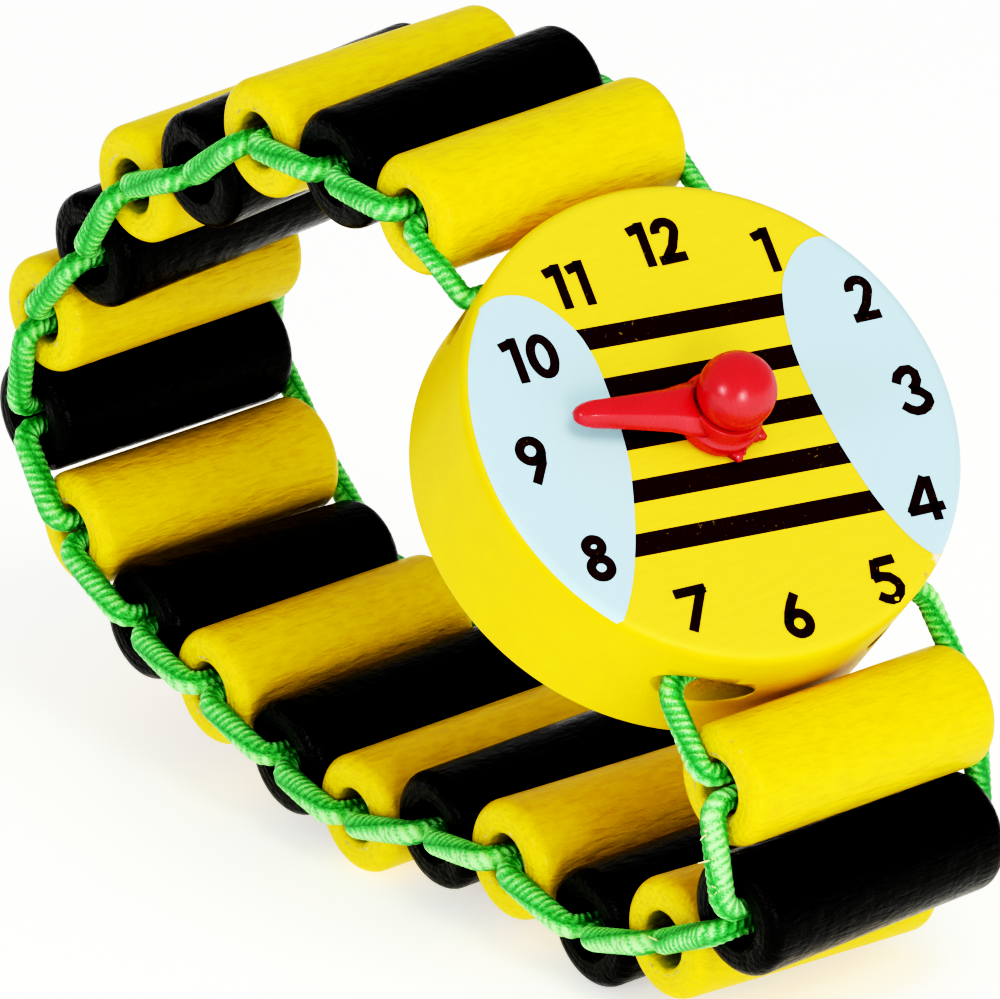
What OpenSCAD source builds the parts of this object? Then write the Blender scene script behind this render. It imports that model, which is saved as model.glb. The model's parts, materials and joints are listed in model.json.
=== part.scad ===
// Toy wrist watch: nineteen wooden beads laced like ladder rungs on one braided elastic,
// closed by a round wooden watch head with a turning plastic hand.
// Millimetres. The band stands on its rim: +Z is up, the beads lie along Y, the origin is
// on the floor under the middle of the band.

/* [Beads] */
// Diameter of a bead
bead_d = 7.5; // [6:0.1:10]
// Length of a bead
bead_l = 18.2; // [14:0.1:26]
// Radius of a bead's rounded ends
bead_round = 0.9; // [0.4:0.05:1.5]
// Least gap between two beads that lie side by side
bead_gap = 0.14; // [0.1:0.02:0.6]
// Width of the broken edge at the mouth of a bead's bore
mouth_edge = 0.4; // [0.2:0.05:0.5]

/* [Elastic] */
// Diameter of the braided elastic
elastic_d = 1.55; // [1.2:0.05:1.9]
// Gap between the two strands that cross inside a bead
strand_gap = 0.13; // [0.06:0.01:0.3]
// Gap between a strand and the wall of a bead's bore
bore_gap = 0.12; // [0.06:0.01:0.3]
// How far a link stands out past the ends of the beads, at its middle line
link_bow = 0.95; // [0.95:0.05:2]
// How much longer the band gets across the wrist when it is pulled
stretch = 14; // [4:1:20]

/* [Head] */
// Diameter of the watch head
head_d = 31; // [26:0.5:40]
// Thickness of the watch head
head_t = 10.4; // [8:0.1:14]
// Radius of the rounded edges of the head
head_round = 0.75; // [0.4:0.05:1.5]
// Diameter of the bore that a single strand passes through
loop_bore_d = 2.6; // [2.4:0.1:3.2]
// Diameter of the bore that hides the knot
knot_bore_d = 3.5; // [3.4:0.1:4]
// Radius at which the single strand turns into its bore
loop_turn = 2.2; // [1:0.1:2.4]
// Radius at which the two tied ends turn into their bore
knot_turn = 1; // [0.9:0.1:2]
// Wood left between a bore and the rim
bore_wall = 0.7; // [0.5:0.05:1.5]
// Height of the bores above the middle of the head's thickness
bore_rise = 0.9; // [0:0.1:1.5]
// Gap between the rim and the beads beside it
head_gap = 0.2; // [0.1:0.05:0.6]
// How far the head leans out of square with the beads, in degrees
head_lean = 5; // [0:0.5:8]
// How far the head is turned in the plane of the band, in degrees
head_turn = 1.7; // [-3:0.1:3]

/* [Pin] */
// Diameter of the pin's ball
ball_d = 4.7; // [4:0.1:6]
// Height of the ball's middle above the face
ball_rise = 3.7; // [3.3:0.1:4.4]
// Diameter of the pin's shank
shank_d = 1.8; // [1.4:0.1:2.4]
// Depth that the shank goes into the wood
shank_depth = 7.5; // [4:0.1:9]
// Gap round the shank in the wood
shank_seat = 0.01; // [0:0.01:0.03]

/* [Hand] */
// Length of the hand from the pin to its tip
hand_l = 9.4; // [7:0.1:11]
// Width of the hand where it leaves the hub
hand_root_w = 3.7; // [2.4:0.1:4.4]
// Width of the hand near its tip
hand_tip_w = 1.8; // [1:0.1:2.4]
// Thickness of the hand
hand_t = 1.2; // [0.8:0.05:1.6]
// Height of the hand's underside above the face
hand_rise = 1.2; // [0.5:0.05:1.4]
// Diameter of the hand's hub at its foot
hub_d = 5.2; // [5:0.1:7]
// Diameter of the top of the hub's collar
collar_d = 4.6; // [4.5:0.1:5]
// Running gap between the hub and the shank
hub_gap = 0.06; // [0.03:0.01:0.1]
// Direction of the hand, in degrees from 3 o'clock towards 12 o'clock
hand_turn = 163; // [0:1:359]

/* [Hidden] */
$fn = 48;
cut = 1;                        // overrun of every cut
arc_steps = 4;                  // steps of a rounded edge
tube_sides = 8;
beads = 19;
first_fixed = 17;               // beads from this one on stay still when the band is pulled
far_beads = [8, 9];             // the two beads that travel the whole stretch

// Which way the band runs from each bead to the next, in degrees from +X towards +Z,
// as the band lies when it is put down on its rim.
run_turns = [173, 183, 206, 205, 226, 230, 255, 304, 319, 348, 342, 350, 370, 362, 348, 371, 393, 457];
head_run = 492;                 // the same from the last bead over the head to the first
contact_bead = 13;              // the bands' curl is set from this bead, which stands on the floor

// How far each bead leans at its far end, in degrees: out of the ring, and along the band.
out_leans = [1.5, 3, 1, 4.5, 2, 4, 1.5, 0.5, -2, 3, 0, -1, 0, -0.5, 2.5, 0, 3, -1.5, 0];
along_leans = [0.2, 0.5, 0.2, -0.3, -0.2, -0.2, 0.2, 0, 0, -0.4, -0.2, 0, 0, 0.3, 0.2, 0, 0.1, -0.6, -0.4];
// How far each bead has slid along its axis, in shares of its length.
slip_shares = [-0.01, 0, 0, 0, 0.01, 0.01, -0.01, 0, -0.005, 0.015, 0, 0.012, -0.008, 0.01, -0.01, 0.005,
    -0.005, -0.01, 0.005];

bead_r = bead_d / 2;
strand_r = elastic_d / 2;
strand_off = strand_r + strand_gap / 2;
bead_bore_d = 2 * (strand_off + strand_r + bore_gap);
head_r = head_d / 2;
head_span = head_r + head_gap + bead_r;

function unit(v) = v / norm(v);
function way(turn) = [cos(turn), 0, sin(turn)];
function outward(turn) = [sin(turn), 0, -cos(turn)];

// The band's curl: an even extra turn of each link between the floor and bead 1, so that
// beads 1 and 19 end as far apart as the head needs.
function run_turn(i, curl) = i < 1 ? head_run - 360 + curl
    : i >= beads ? head_run
    : run_turns[i - 1] + (i < contact_bead ? curl * (contact_bead - i) / (contact_bead - 1) : 0);
function band_turn(i, curl) = (run_turn(i - 1, curl) + run_turn(i, curl)) / 2;
function bead_axis(i, curl) = unit([0, 1, 0] + tan(along_leans[i - 1]) * way(band_turn(i, curl))
    + tan(out_leans[i - 1]) * outward(band_turn(i, curl)));
// Two beads touch at one end when they lean apart, so a link is longer by that much.
function link_step(i, curl) = (bead_d + bead_gap
    + bead_l / 2 * abs((bead_axis(i + 1, curl) - bead_axis(i, curl)) * way(run_turn(i, curl))))
    * way(run_turn(i, curl));
function chain(i, curl) = i > contact_bead ? chain(i - 1, curl) + link_step(i - 1, curl)
    : i > contact_bead - 1 ? [0, 0, 0]
    : chain(i + 1, curl) - link_step(i, curl);
function open_span(curl) = norm(chain(1, curl) - chain(beads, curl)) - 2 * head_span;
function solve_curl(low, high, n) = n == 0 ? (low + high) / 2
    : open_span((low + high) / 2) < 0 ? solve_curl((low + high) / 2, high, n - 1)
    : solve_curl(low, (low + high) / 2, n - 1);
curl = solve_curl(-60, 60, 24);

// Half of a bead's width in a direction, its rounded ends counted.
function reach(a, d) = (bead_r - bead_round) * sqrt(1 - pow(a * d, 2))
    + (bead_l / 2 - bead_round) * abs(a * d) + bead_round;
axes = [for (i = [1:beads]) bead_axis(i, curl)];
raw = [for (i = [1:beads]) chain(i, curl)];
left = min([for (i = [0:beads - 1]) raw[i].x - reach(axes[i], [1, 0, 0])]);
right = max([for (i = [0:beads - 1]) raw[i].x + reach(axes[i], [1, 0, 0])]);
low = min([for (i = [0:beads - 1]) raw[i].z - reach(axes[i], [0, 0, 1])]);
function bead_at(i) = raw[i - 1] + [-(left + right) / 2, slip_shares[i - 1] * bead_l, -low];
function axis_of(i) = axes[i - 1];
function along_of(i) = unit(way(band_turn(i, curl)) - (way(band_turn(i, curl)) * axis_of(i)) * axis_of(i));
function out_of(i) = cross(axis_of(i), along_of(i));

// The head's own frame: x to 3 o'clock, y to 12 o'clock, z out of the face.
flat_bead_1 = [bead_at(1).x, 0, bead_at(1).z];
flat_bead_last = [bead_at(beads).x, 0, bead_at(beads).z];
head_at = (flat_bead_1 + flat_bead_last) / 2;
head_rise = atan2(flat_bead_1.z - flat_bead_last.z, flat_bead_1.x - flat_bead_last.x) - 90 + head_turn;
to_12 = [-sin(head_rise), 0, cos(head_rise)];
square_out = [cos(head_rise), 0, sin(head_rise)];
to_3 = cos(head_lean) * [0, 1, 0] + sin(head_lean) * square_out;
face_out = cos(head_lean) * square_out - sin(head_lean) * [0, 1, 0];
function head_point(p) = head_at + p.x * to_3 + p.y * to_12 + p.z * face_out;
loop_bore_y = head_r - bore_wall - loop_bore_d / 2;
knot_bore_y = head_r - bore_wall - knot_bore_d / 2;

// Rounded profile corners, walked round from one direction to the other.
function corner(c, r, from, to) = [for (k = [0:arc_steps]) c + r * [cos(from + (to - from) * k / arc_steps),
    sin(from + (to - from) * k / arc_steps)]];

// Skin over a list of rings that have the same number of points, closed at both ends.
module skin(rings) {
    n = len(rings[0]);
    last = len(rings) - 1;
    polyhedron(
        points = [for (ring = rings) each ring],
        faces = concat(
            [[for (k = [0:n - 1]) k]],
            [for (j = [0:last - 1], k = [0:n - 1]) each [
                [j * n + k, (j + 1) * n + k, (j + 1) * n + (k + 1) % n],
                [j * n + k, (j + 1) * n + (k + 1) % n, j * n + (k + 1) % n]]],
            [[for (k = [n - 1:-1:0]) last * n + k]]),
        convexity = 10);
}

// Round tube along a route: each ring is square to the route and turned as little as possible.
// radii gives a radius for each point where the tube swells.
function course(route, i) = let (last = len(route) - 1) i == 0 ? unit(4 * route[1] - 3 * route[0] - route[2])
    : i == last ? unit(3 * route[last] - 4 * route[last - 1] + route[last - 2])
    : unit(route[i + 1] - route[i - 1]);
module tube(route, radii = []) {
    last = len(route) - 1;
    sides = [for (i = 0, n = squared(face_out, course(route, 0)); i <= last; i = i + 1,
        n = squared(n, course(route, min(i, last)))) n];
    skin([for (i = [0:last]) let (t = course(route, i), n = sides[i], m = cross(t, n),
        r = len(radii) > 0 ? radii[i] : strand_r)
        [for (k = [0:tube_sides - 1]) let (turn = 360 * k / tube_sides)
            route[i] + r * (cos(turn) * n + sin(turn) * m)]]);
}

// The elastic's route. A strand crosses a bead from one side of the bore to the other by half
// a turn round its partner; side is -1 at the near end and 1 at the far end of the beads.
strand_steps = 6;
turn_steps = 4;
cut_gap = 0.07;                 // opening between two pieces of elastic at the middle of a link
mouth_in = bead_round / 3;      // depth in the bore at which a strand starts to turn
link_turn = link_bow + mouth_in;
function strand_end(i, side, toward) = bead_at(i) + side * (bead_l / 2 - mouth_in) * axis_of(i)
    + toward * strand_off * along_of(i);
// The first strand goes from the bead before at the near end to the bead after at the far end,
// the second strand the other way.
function strand(i, first) = [for (k = [1:strand_steps - 1]) let (u = k / strand_steps, s = first ? 1 : -1)
    bead_at(i) + (2 * u - 1) * (bead_l / 2 - mouth_in) * axis_of(i)
    + strand_off * (-s * cos(180 * u) * along_of(i) + s * sin(180 * u) * out_of(i))];

// A link leaves one bore by a quarter turn, runs straight across and enters the next bore by
// another quarter turn. Each of its two ends is [point, outward direction, radius of the turn].
function bead_end(i, side, toward) = [strand_end(i, side, toward), side * axis_of(i), link_turn];
function head_end(y, z, side, turn) = [head_point([side * (bead_l / 2 + link_bow - turn), y, z]),
    side * to_3, turn];
function link(i, side) = [bead_end(i, side, 1), bead_end(i + 1, side, -1)];
function knot_link(side) = [head_end(knot_bore_y, bore_rise, side, knot_turn), bead_end(1, side, -1)];
// The single strand lies against the wall of its bore that is nearest the middle of the face.
loop_lie = 30;                  // its direction from the bore's middle, from 12 o'clock to the face
loop_slack = (loop_bore_d - elastic_d) / 2 - bore_gap;
function loop_link(side) = [bead_end(beads, side, 1), head_end(loop_slack * cos(loop_lie) - loop_bore_y,
    bore_rise + loop_slack * sin(loop_lie), side, loop_turn)];
function link_before(i, side) = i == 1 ? knot_link(side) : link(i - 1, side);

function squared(n, t) = unit(n - (n * t) * t);
function backwards(list) = [for (k = [len(list) - 1:-1:0]) list[k]];
function quarter(end, other) = let (aside = squared(other[0] - end[0], end[1]))
    [for (k = [0:turn_steps]) let (turn = 90 * k / turn_steps)
        end[0] + end[2] * (sin(turn) * end[1] + (1 - cos(turn)) * aside)];
function half_link(ends) = let (out = quarter(ends[0], ends[1]), from = out[turn_steps],
    run = quarter(ends[1], ends[0])[turn_steps] - from)
    concat(out, [for (share = [0.5, 1]) from + share * (norm(run) - cut_gap) / 2 * unit(run)]);
function other_half(ends) = backwards(half_link(backwards(ends)));
function whole_link(ends) = concat(quarter(ends[0], ends[1]), backwards(quarter(ends[1], ends[0])));

// From one end of a bead that stays still, over every link up to the head's bore.
function up_to_head(i, side) = concat(side < 0 ? strand(i, true) : backwards(strand(i, false)),
    i == beads ? whole_link(loop_link(-side)) : concat(whole_link(link(i, -side)), up_to_head(i + 1, -side)));

module bead_solid(i) {
    half = bead_l / 2;
    bore_r = bead_bore_d / 2;
    edge_x = bead_r - bead_round;
    edge_y = half - bead_round;
    profile = concat(
        [[bore_r, -half + mouth_edge], [bore_r + mouth_edge, -half]],
        corner([edge_x, -edge_y], bead_round, -90, 0),
        corner([edge_x, edge_y], bead_round, 0, 90),
        [[bore_r + mouth_edge, half], [bore_r, half - mouth_edge]]);
    a = axis_of(i);
    translate(bead_at(i))
        rotate([0, acos(a.z), atan2(a.y, a.x)])
            rotate_extrude() polygon(profile);
}

module yellow_bead(i) {
    color("gold") bead_solid(i);
}

module black_bead(i) {
    color("#151515") bead_solid(i);
}

// The elastic that a moving bead rides on: both strands, from mid-link to mid-link.
module elastic_run(i) {
    color("limegreen") {
        tube(concat(other_half(link_before(i, -1)), strand(i, true), half_link(link(i, 1))));
        tube(concat(backwards(half_link(link(i, -1))), strand(i, false),
            backwards(other_half(link_before(i, 1)))));
    }
}

// The elastic below the head, whole: up through the still beads, through the head's lower
// bore as one strand, and back down.
module elastic_lower() {
    low_link_near = link(first_fixed - 1, -1);
    low_link_far = link(first_fixed - 1, 1);
    color("limegreen")
        tube(concat(other_half(low_link_near), up_to_head(first_fixed, -1),
            backwards(up_to_head(first_fixed, 1)), backwards(other_half(low_link_far))));
}

// Both ends of the elastic, tied in the head's upper bore. The knot is squeezed by the bore
// into two rounded lumps.
knot_shares = [0.5, 0.92, 1, 0.84, 1, 0.92, 0.5];
knot_r = knot_bore_d / 2 - bore_gap;
knot_l = 3 * elastic_d;
module elastic_upper() {
    near = backwards(half_link(knot_link(-1)));
    far = half_link(knot_link(1));
    lumps = len(knot_shares) - 1;
    knot = [for (k = [0:lumps]) head_point([knot_l * (k / lumps - 1 / 2), knot_bore_y, bore_rise])];
    color("limegreen")
        tube(concat(near, knot, far), concat([for (p = near) strand_r], knot_r * knot_shares,
            [for (p = far) strand_r]));
}

module in_head() {
    translate(head_at)
        rotate([0, 90 - head_rise, 0])
            rotate([0, 0, 90])
                rotate([0, -head_lean, 0])
                    children();
}

module bore_across(y, d) {
    translate([0, y, bore_rise])
        rotate([0, 90, 0])
            cylinder(h = head_d + 2 * cut, d = d, center = true);
}

face = head_t / 2;
hole_spare = 0.5;               // depth of the pin's hole past the end of the shank
module head() {
    edge_x = head_r - head_round;
    edge_y = face - head_round;
    profile = concat([[0, -face]], corner([edge_x, -edge_y], head_round, -90, 0),
        corner([edge_x, edge_y], head_round, 0, 90), [[0, face]]);
    hole = shank_depth + hole_spare;
    color("gold") in_head()
        difference() {
            rotate_extrude($fn = 96) polygon(profile);
            bore_across(knot_bore_y, knot_bore_d);
            bore_across(-loop_bore_y, loop_bore_d);
            translate([0, 0, face - hole]) cylinder(h = hole + cut, d = shank_d + 2 * shank_seat);
        }
}

module pin() {
    point = shank_d / 4;        // length of the shank's tapered end
    color("red") in_head() translate([0, 0, face]) {
        translate([0, 0, ball_rise]) sphere(d = ball_d);
        translate([0, 0, point - shank_depth]) cylinder(h = shank_depth - point + ball_rise, d = shank_d);
        translate([0, 0, -shank_depth]) cylinder(h = point, d1 = shank_d / 2, d2 = shank_d);
    }
}

// The hand: a hub that turns on the shank under the ball, with a bowl that clears the ball,
// and a tapering blade with sloping sides and a bevelled tip. The blade grows out of the hub's
// conical collar, above its foot.
hand_floor = 0.1;               // gap between the hub and the face
blade_foot_share = 0.3;         // height of the blade's upright foot, as a share of its thickness
blade_top_share = 0.52;         // width of the blade's flat top, as a share of its width
waist_share = 0.37;             // where the blade's flare at the hub ends, as a share of its length
waist_w_share = 0.73;           // width there, as a share of the width at the hub
function blade_ring(x, w, t) = [
    [x, -w / 2, hand_rise],
    [x, w / 2, hand_rise],
    [x, w / 2, hand_rise + t * blade_foot_share],
    [x, w / 2 * blade_top_share, hand_rise + t],
    [x, -w / 2 * blade_top_share, hand_rise + t],
    [x, -w / 2, hand_rise + t * blade_foot_share]];
module hand() {
    top = hand_rise + hand_t;
    color("red") in_head() translate([0, 0, face]) rotate([0, 0, hand_turn])
        difference() {
            union() {
                translate([0, 0, hand_floor]) cylinder(h = hand_rise - hand_floor, d = hub_d);
                translate([0, 0, hand_rise]) cylinder(h = hand_t, d1 = hub_d, d2 = collar_d);
                skin([
                    blade_ring(hub_d / 4, hand_root_w, hand_t),
                    blade_ring(hand_l * waist_share, hand_root_w * waist_w_share, hand_t),
                    blade_ring(hand_l - hand_tip_w, hand_tip_w, hand_t),
                    blade_ring(hand_l - hand_tip_w / 3, hand_tip_w * 4 / 5, hand_t * 4 / 5),
                    blade_ring(hand_l, hand_tip_w / 3, hand_t / 2)]);
            }
            translate([0, 0, ball_rise]) sphere(d = ball_d + 2 * hub_gap);
            cylinder(h = top + cut, d = shank_d + 2 * hub_gap);
        }
}

function two_digits(i) = str(i < 10 ? "0" : "", i);
function bead_name(i) = str("bead_", two_digits(i));
function run_name(i) = str("elastic_", two_digits(i));

// Share of the stretch that each bead travels: even along the upper and the lower run.
upper_start = knot_link(-1)[0][0].x;
upper_end = bead_at(far_beads[0]).x;
lower_start = bead_at(first_fixed).x;
lower_end = bead_at(far_beads[1]).x;
function travel_share(i) = i >= first_fixed ? 0
    : i <= far_beads[0] ? (upper_start - bead_at(i).x) / (upper_start - upper_end)
    : (lower_start - bead_at(i).x) / (lower_start - lower_end);
echo(curl = curl, head_at = head_at, to_3 = to_3, to_12 = to_12, face_out = face_out);
echo(beads_at = [for (i = [1:beads]) bead_at(i)]);
echo(bead_axes = axes);
echo(travel = [for (i = [1:beads]) travel_share(i) * stretch]);

head();
pin();
hand();
elastic_upper();
elastic_lower();
for (i = [1:2:beads]) yellow_bead(i);
for (i = [2:2:beads]) black_bead(i);
for (i = [1:first_fixed - 1]) elastic_run(i);
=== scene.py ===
"""Toy wrist watch: turned wooden beads on a laced elastic, and a wooden head with a printed dial."""
import json
import math
from random import Random

import bmesh
import bpy
from mathutils import Matrix, Vector, noise

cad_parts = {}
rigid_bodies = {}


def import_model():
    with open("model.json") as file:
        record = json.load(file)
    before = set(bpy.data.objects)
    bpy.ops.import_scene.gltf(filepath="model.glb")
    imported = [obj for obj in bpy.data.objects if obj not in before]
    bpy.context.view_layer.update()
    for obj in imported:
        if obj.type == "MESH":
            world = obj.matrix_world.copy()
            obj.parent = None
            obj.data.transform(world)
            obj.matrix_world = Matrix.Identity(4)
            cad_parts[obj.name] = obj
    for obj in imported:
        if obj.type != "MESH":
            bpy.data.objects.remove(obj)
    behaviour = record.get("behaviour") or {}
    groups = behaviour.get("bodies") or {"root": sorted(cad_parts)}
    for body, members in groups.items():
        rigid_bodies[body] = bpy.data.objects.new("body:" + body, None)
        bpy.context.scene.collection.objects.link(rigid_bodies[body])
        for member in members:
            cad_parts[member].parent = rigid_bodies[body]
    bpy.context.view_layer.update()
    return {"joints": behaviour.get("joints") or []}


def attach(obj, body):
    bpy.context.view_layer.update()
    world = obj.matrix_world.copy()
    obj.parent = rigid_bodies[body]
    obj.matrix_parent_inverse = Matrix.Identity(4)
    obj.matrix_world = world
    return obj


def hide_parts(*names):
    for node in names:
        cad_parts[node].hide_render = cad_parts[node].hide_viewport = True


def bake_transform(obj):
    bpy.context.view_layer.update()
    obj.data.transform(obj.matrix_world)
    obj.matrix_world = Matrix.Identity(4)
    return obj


bl_info = {
    "name": "Toy wrist watch",
    "version": (1, 0, 0),
    "blender": (4, 5, 0),
    "location": "3D View > Sidebar > Toy watch",
    "description": "Builds a toy watch: painted beads on braided elastic, a wooden head, its dial and its hand",
    "category": "Add Mesh",
}

for leftover in [o for o in bpy.data.objects if o.name in ("Cube", "Light", "Camera")]:
    bpy.data.objects.remove(leftover)

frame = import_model()

MM = 0.001
BEADS = 19
FIRST_STILL = 17        # beads from this one on stay with the head when the band is pulled
FAR_BEAD = 8            # this bead and the next one travel the whole stretch
JOINTS = {joint["name"]: joint for joint in frame["joints"]}


def linear(code):
    """Turns an sRGB hex colour into linear red, green, blue and alpha."""
    parts = [int(code[k:k + 2], 16) / 255 for k in (1, 3, 5)]
    return [c / 12.92 if c <= 0.04045 else ((c + 0.055) / 1.055) ** 2.4 for c in parts] + [1.0]


def length(name, text, size):
    """A size in millimetres as a Blender length property."""
    return bpy.props.FloatProperty(name=name, description=text, default=size * MM, precision=5,
                                   subtype="DISTANCE", unit="LENGTH")


def colour(name, text, code):
    """An sRGB hex colour as a Blender colour property."""
    return bpy.props.FloatVectorProperty(name=name, description=text, default=linear(code), size=4,
                                         subtype="COLOR", min=0, max=1)


def amount(name, text, value):
    """A plain number as a Blender property."""
    return bpy.props.FloatProperty(name=name, description=text, default=value)


def angle(name, text, degrees):
    """An angle in degrees as a Blender angle property."""
    return bpy.props.FloatProperty(name=name, description=text, default=math.radians(degrees),
                                   subtype="ANGLE", unit="ROTATION")


class WatchBeadSizes(bpy.types.PropertyGroup):
    diameter: length("Diameter", "Across a bead", 7.5)
    length: length("Length", "End to end", 18.2)
    rounding: length("Rounding", "Radius of the rounded ends", 0.9)
    bore: length("Bore", "Across the bore", 3.46)
    mouth: length("Mouth", "Width of the broken edge of the bore", 0.4)
    waver: length("Waver", "How far the turned surface strays from true", 0.035)
    yellow: colour("Yellow paint", "Semi-gloss enamel of the odd beads", "#E7C800")
    black: colour("Black paint", "Gloss enamel of the even beads", "#060606")
    bare: colour("Bare wood", "Wood inside the bores", "#DEC795")
    stained: colour("Stained wood", "Wood that black paint has run into", "#1C140E")


class WatchElasticSizes(bpy.types.PropertyGroup):
    diameter: length("Diameter", "Across the braided elastic", 1.55)
    strand_gap: length("Strand gap", "Between the two strands inside a bead", 0.0)
    bow: length("Bow", "How far a link stands out past the beads", 0.64)
    loop_bow: length("Bow of the loop", "The same for the strand that goes through the head", 0.25)
    knot_bow: length("Bow of the tied ends", "The same for the taut links at the knot", 0.35)
    knot_lean: length("Lean of the tied ends", "How much less they stand out at the head", 0.5)
    fray: length("Fray", "Length of a thread that has come loose", 0.55)
    bulge: length("Bulge", "How much further it stands out half-way", 0.12)
    drawn: amount("Drawn", "Thickness in a bore, as a share", 0.93)
    swell: amount("Swell", "How much thicker a link is half-way", 0.13)
    taut: amount("Taut", "Thickness of the link at the knot, as a share", 0.87)
    ring: length("Ring spacing", "Between two rings of the cord's mesh", 0.08)
    rib: length("Rib pitch", "Between two ribs of the braid", 0.52)
    rib_depth: length("Rib depth", "How far the ribs stand out", 0.06)
    rib_slant: amount("Rib slant", "Ribs that one rib leans past", 0.95)
    green: colour("Green", "Braided polyester", "#55BE5E")
    # the light green is a painted highlight on the rib crowns, the deep green is painted shade between the ribs
    bright: colour("Light green", "Crowns of the ribs", "#A6F09C")
    deep: colour("Deep green", "Between the ribs", "#1C8A33")
    rubber: colour("Rubber", "Pale latex thread inside the braid", "#EDEBC0")


class WatchHeadSizes(bpy.types.PropertyGroup):
    diameter: length("Diameter", "Across the head", 31)
    thickness: length("Thickness", "Front to back", 10.4)
    rounding: length("Rounding", "Radius of the rounded edges", 0.75)
    loop_bore: length("Loop bore", "Across the bore for one strand", 2.9)
    loop_wall: length("Loop wall", "Wood between that bore and the rim", 0.55)
    loop_turn: length("Loop turn", "Radius at which the single strand turns into its bore", 1.7)
    knot_turn: length("Knot turn", "Radius at which the tied ends turn into their bore", 0.6)
    knot_bore: length("Knot bore", "Across the bore for the knot", 3.5)
    bore_wall: length("Bore wall", "Wood between a bore and the rim", 0.7)
    bore_rise: length("Bore rise", "Bores above the middle of the thickness", 0.9)
    pin_hole: length("Pin hole", "Across the hole for the pin", 1.82)
    pin_hole_depth: length("Pin hole depth", "Depth of the hole", 8)
    paint: colour("Paint", "Yellow enamel on the wood", "#E8C800")
    face_paint: colour("Face", "Printed yellow of the face", "#EBCE44")


class WatchDialSizes(bpy.types.PropertyGroup):
    turn: angle("Turn", "Print turned on the face, clockwise", 9.3)
    stripe_count: bpy.props.IntProperty(name="Stripes", description="Number of dark stripes", default=5, min=1)
    stripe_pitch: length("Stripe pitch", "From one stripe to the next", 3.3)
    stripe_width: length("Stripe width", "Across one stripe", 1.4)
    stripe_length: length("Stripe length", "End to end, under the side fields", 19.5)
    stripe_drop: length("Stripe drop", "Middle stripe below the middle of the face", 0.27)
    numeral: length("Numeral height", "Height of the numbers", 3)
    pen: length("Numeral stroke", "Width of a number's stroke", 0.58)
    film: length("Ink film", "Thickness of one layer of print", 0.014)
    ink: colour("Ink", "Dark printing ink", "#33151A")
    field: colour("Side fields", "Pale-blue printing ink", "#B4D9E1")
    specks: colour("Specks", "Where the pale-blue ink lies thin", "#B3D7DD")


class WatchHandSizes(bpy.types.PropertyGroup):
    reach: length("Length", "From the pin to the tip", 9.4)
    root: length("Root width", "Width at the hub", 3.7)
    tip: length("Tip width", "Width near the tip", 1.8)
    thickness: length("Thickness", "Of the blade", 1.2)
    rise: length("Rise", "Underside above the face", 1.2)
    hub: length("Hub", "Across the foot of the hub", 5.2)
    collar: length("Collar", "Across the top of the hub", 4.6)
    running_gap: length("Running gap", "Between hub and shank", 0.03)
    ball: length("Ball", "Across the pin's ball", 4.7)
    ball_rise: length("Ball rise", "Middle of the ball above the face", 3.7)
    shank: length("Shank", "Across the pin's shank", 1.8)
    shank_depth: length("Shank depth", "Depth of the shank in the wood", 7.5)
    turn: angle("Turn", "From 3 o'clock towards 12 o'clock", 163)
    red: colour("Red", "Moulded red plastic", "#CB2533")


class WatchStudio(bpy.types.PropertyGroup):
    floor: colour("Floor", "Plain pale floor", "#F6F6F4")
    table: amount("Table", "Strength of the light through the paper", 0.48)
    sky: amount("Sky", "Strength of the even light", 0.58)
    key: amount("Key", "Power of the overhead light in watts", 1.55)
    side: amount("Side", "Power of the side light in watts", 0.6)
    front: amount("Front", "Power of the low front light in watts", 0.7)


class WatchSettings(bpy.types.PropertyGroup):
    bead: bpy.props.PointerProperty(type=WatchBeadSizes)
    elastic: bpy.props.PointerProperty(type=WatchElasticSizes)
    head: bpy.props.PointerProperty(type=WatchHeadSizes)
    dial: bpy.props.PointerProperty(type=WatchDialSizes)
    hand: bpy.props.PointerProperty(type=WatchHandSizes)
    studio: bpy.props.PointerProperty(type=WatchStudio)


# Places taken from the frame

def bead_at(i):
    """Middle of bead i."""
    return Vector(JOINTS["bead_%02d_spin" % i]["pos_m"])


def bead_axis(i):
    """Direction of bead i's bore."""
    return Vector(JOINTS["bead_%02d_spin" % i]["axis"]).normalized()


def run_way(i):
    """Direction in the band's plane from bead i to the next; over the head for the last one."""
    here = bead_at(i if 1 <= i <= BEADS else BEADS)
    there = bead_at(i + 1 if 1 <= i < BEADS else 1)
    way = there - here
    way.y = 0
    return way.normalized()


def bead_frame(i):
    """Columns: along the band, out of the ring, along the bead's axis."""
    axis = bead_axis(i)
    along = (run_way(i - 1) + run_way(i)).normalized()
    along = (along - along.dot(axis) * axis).normalized()
    return Matrix((along, axis.cross(along), axis)).transposed()


FACE_AT = Vector(JOINTS["hand_turn"]["pos_m"])
FACE_OUT = Vector(JOINTS["hand_turn"]["axis"]).normalized()
TO_12 = Vector((-FACE_OUT.z, 0, FACE_OUT.x)).normalized()
TO_3 = TO_12.cross(FACE_OUT)
HEAD_FRAME = Matrix((TO_3, TO_12, FACE_OUT)).transposed().to_4x4()
HEAD_FRAME.translation = FACE_AT


def body_of_run(i):
    """Body that carries the elastic inside bead i."""
    return "watch" if i >= FIRST_STILL else "link_%02d" % i


def bore_places(head):
    """How far the knot's bore and the loop's bore lie from the middle of the head, towards 12 o'clock."""
    radius = head.diameter / 2
    return radius - head.bore_wall - head.knot_bore / 2, head.loop_wall + head.loop_bore / 2 - radius


# Mesh and node helpers

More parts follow.
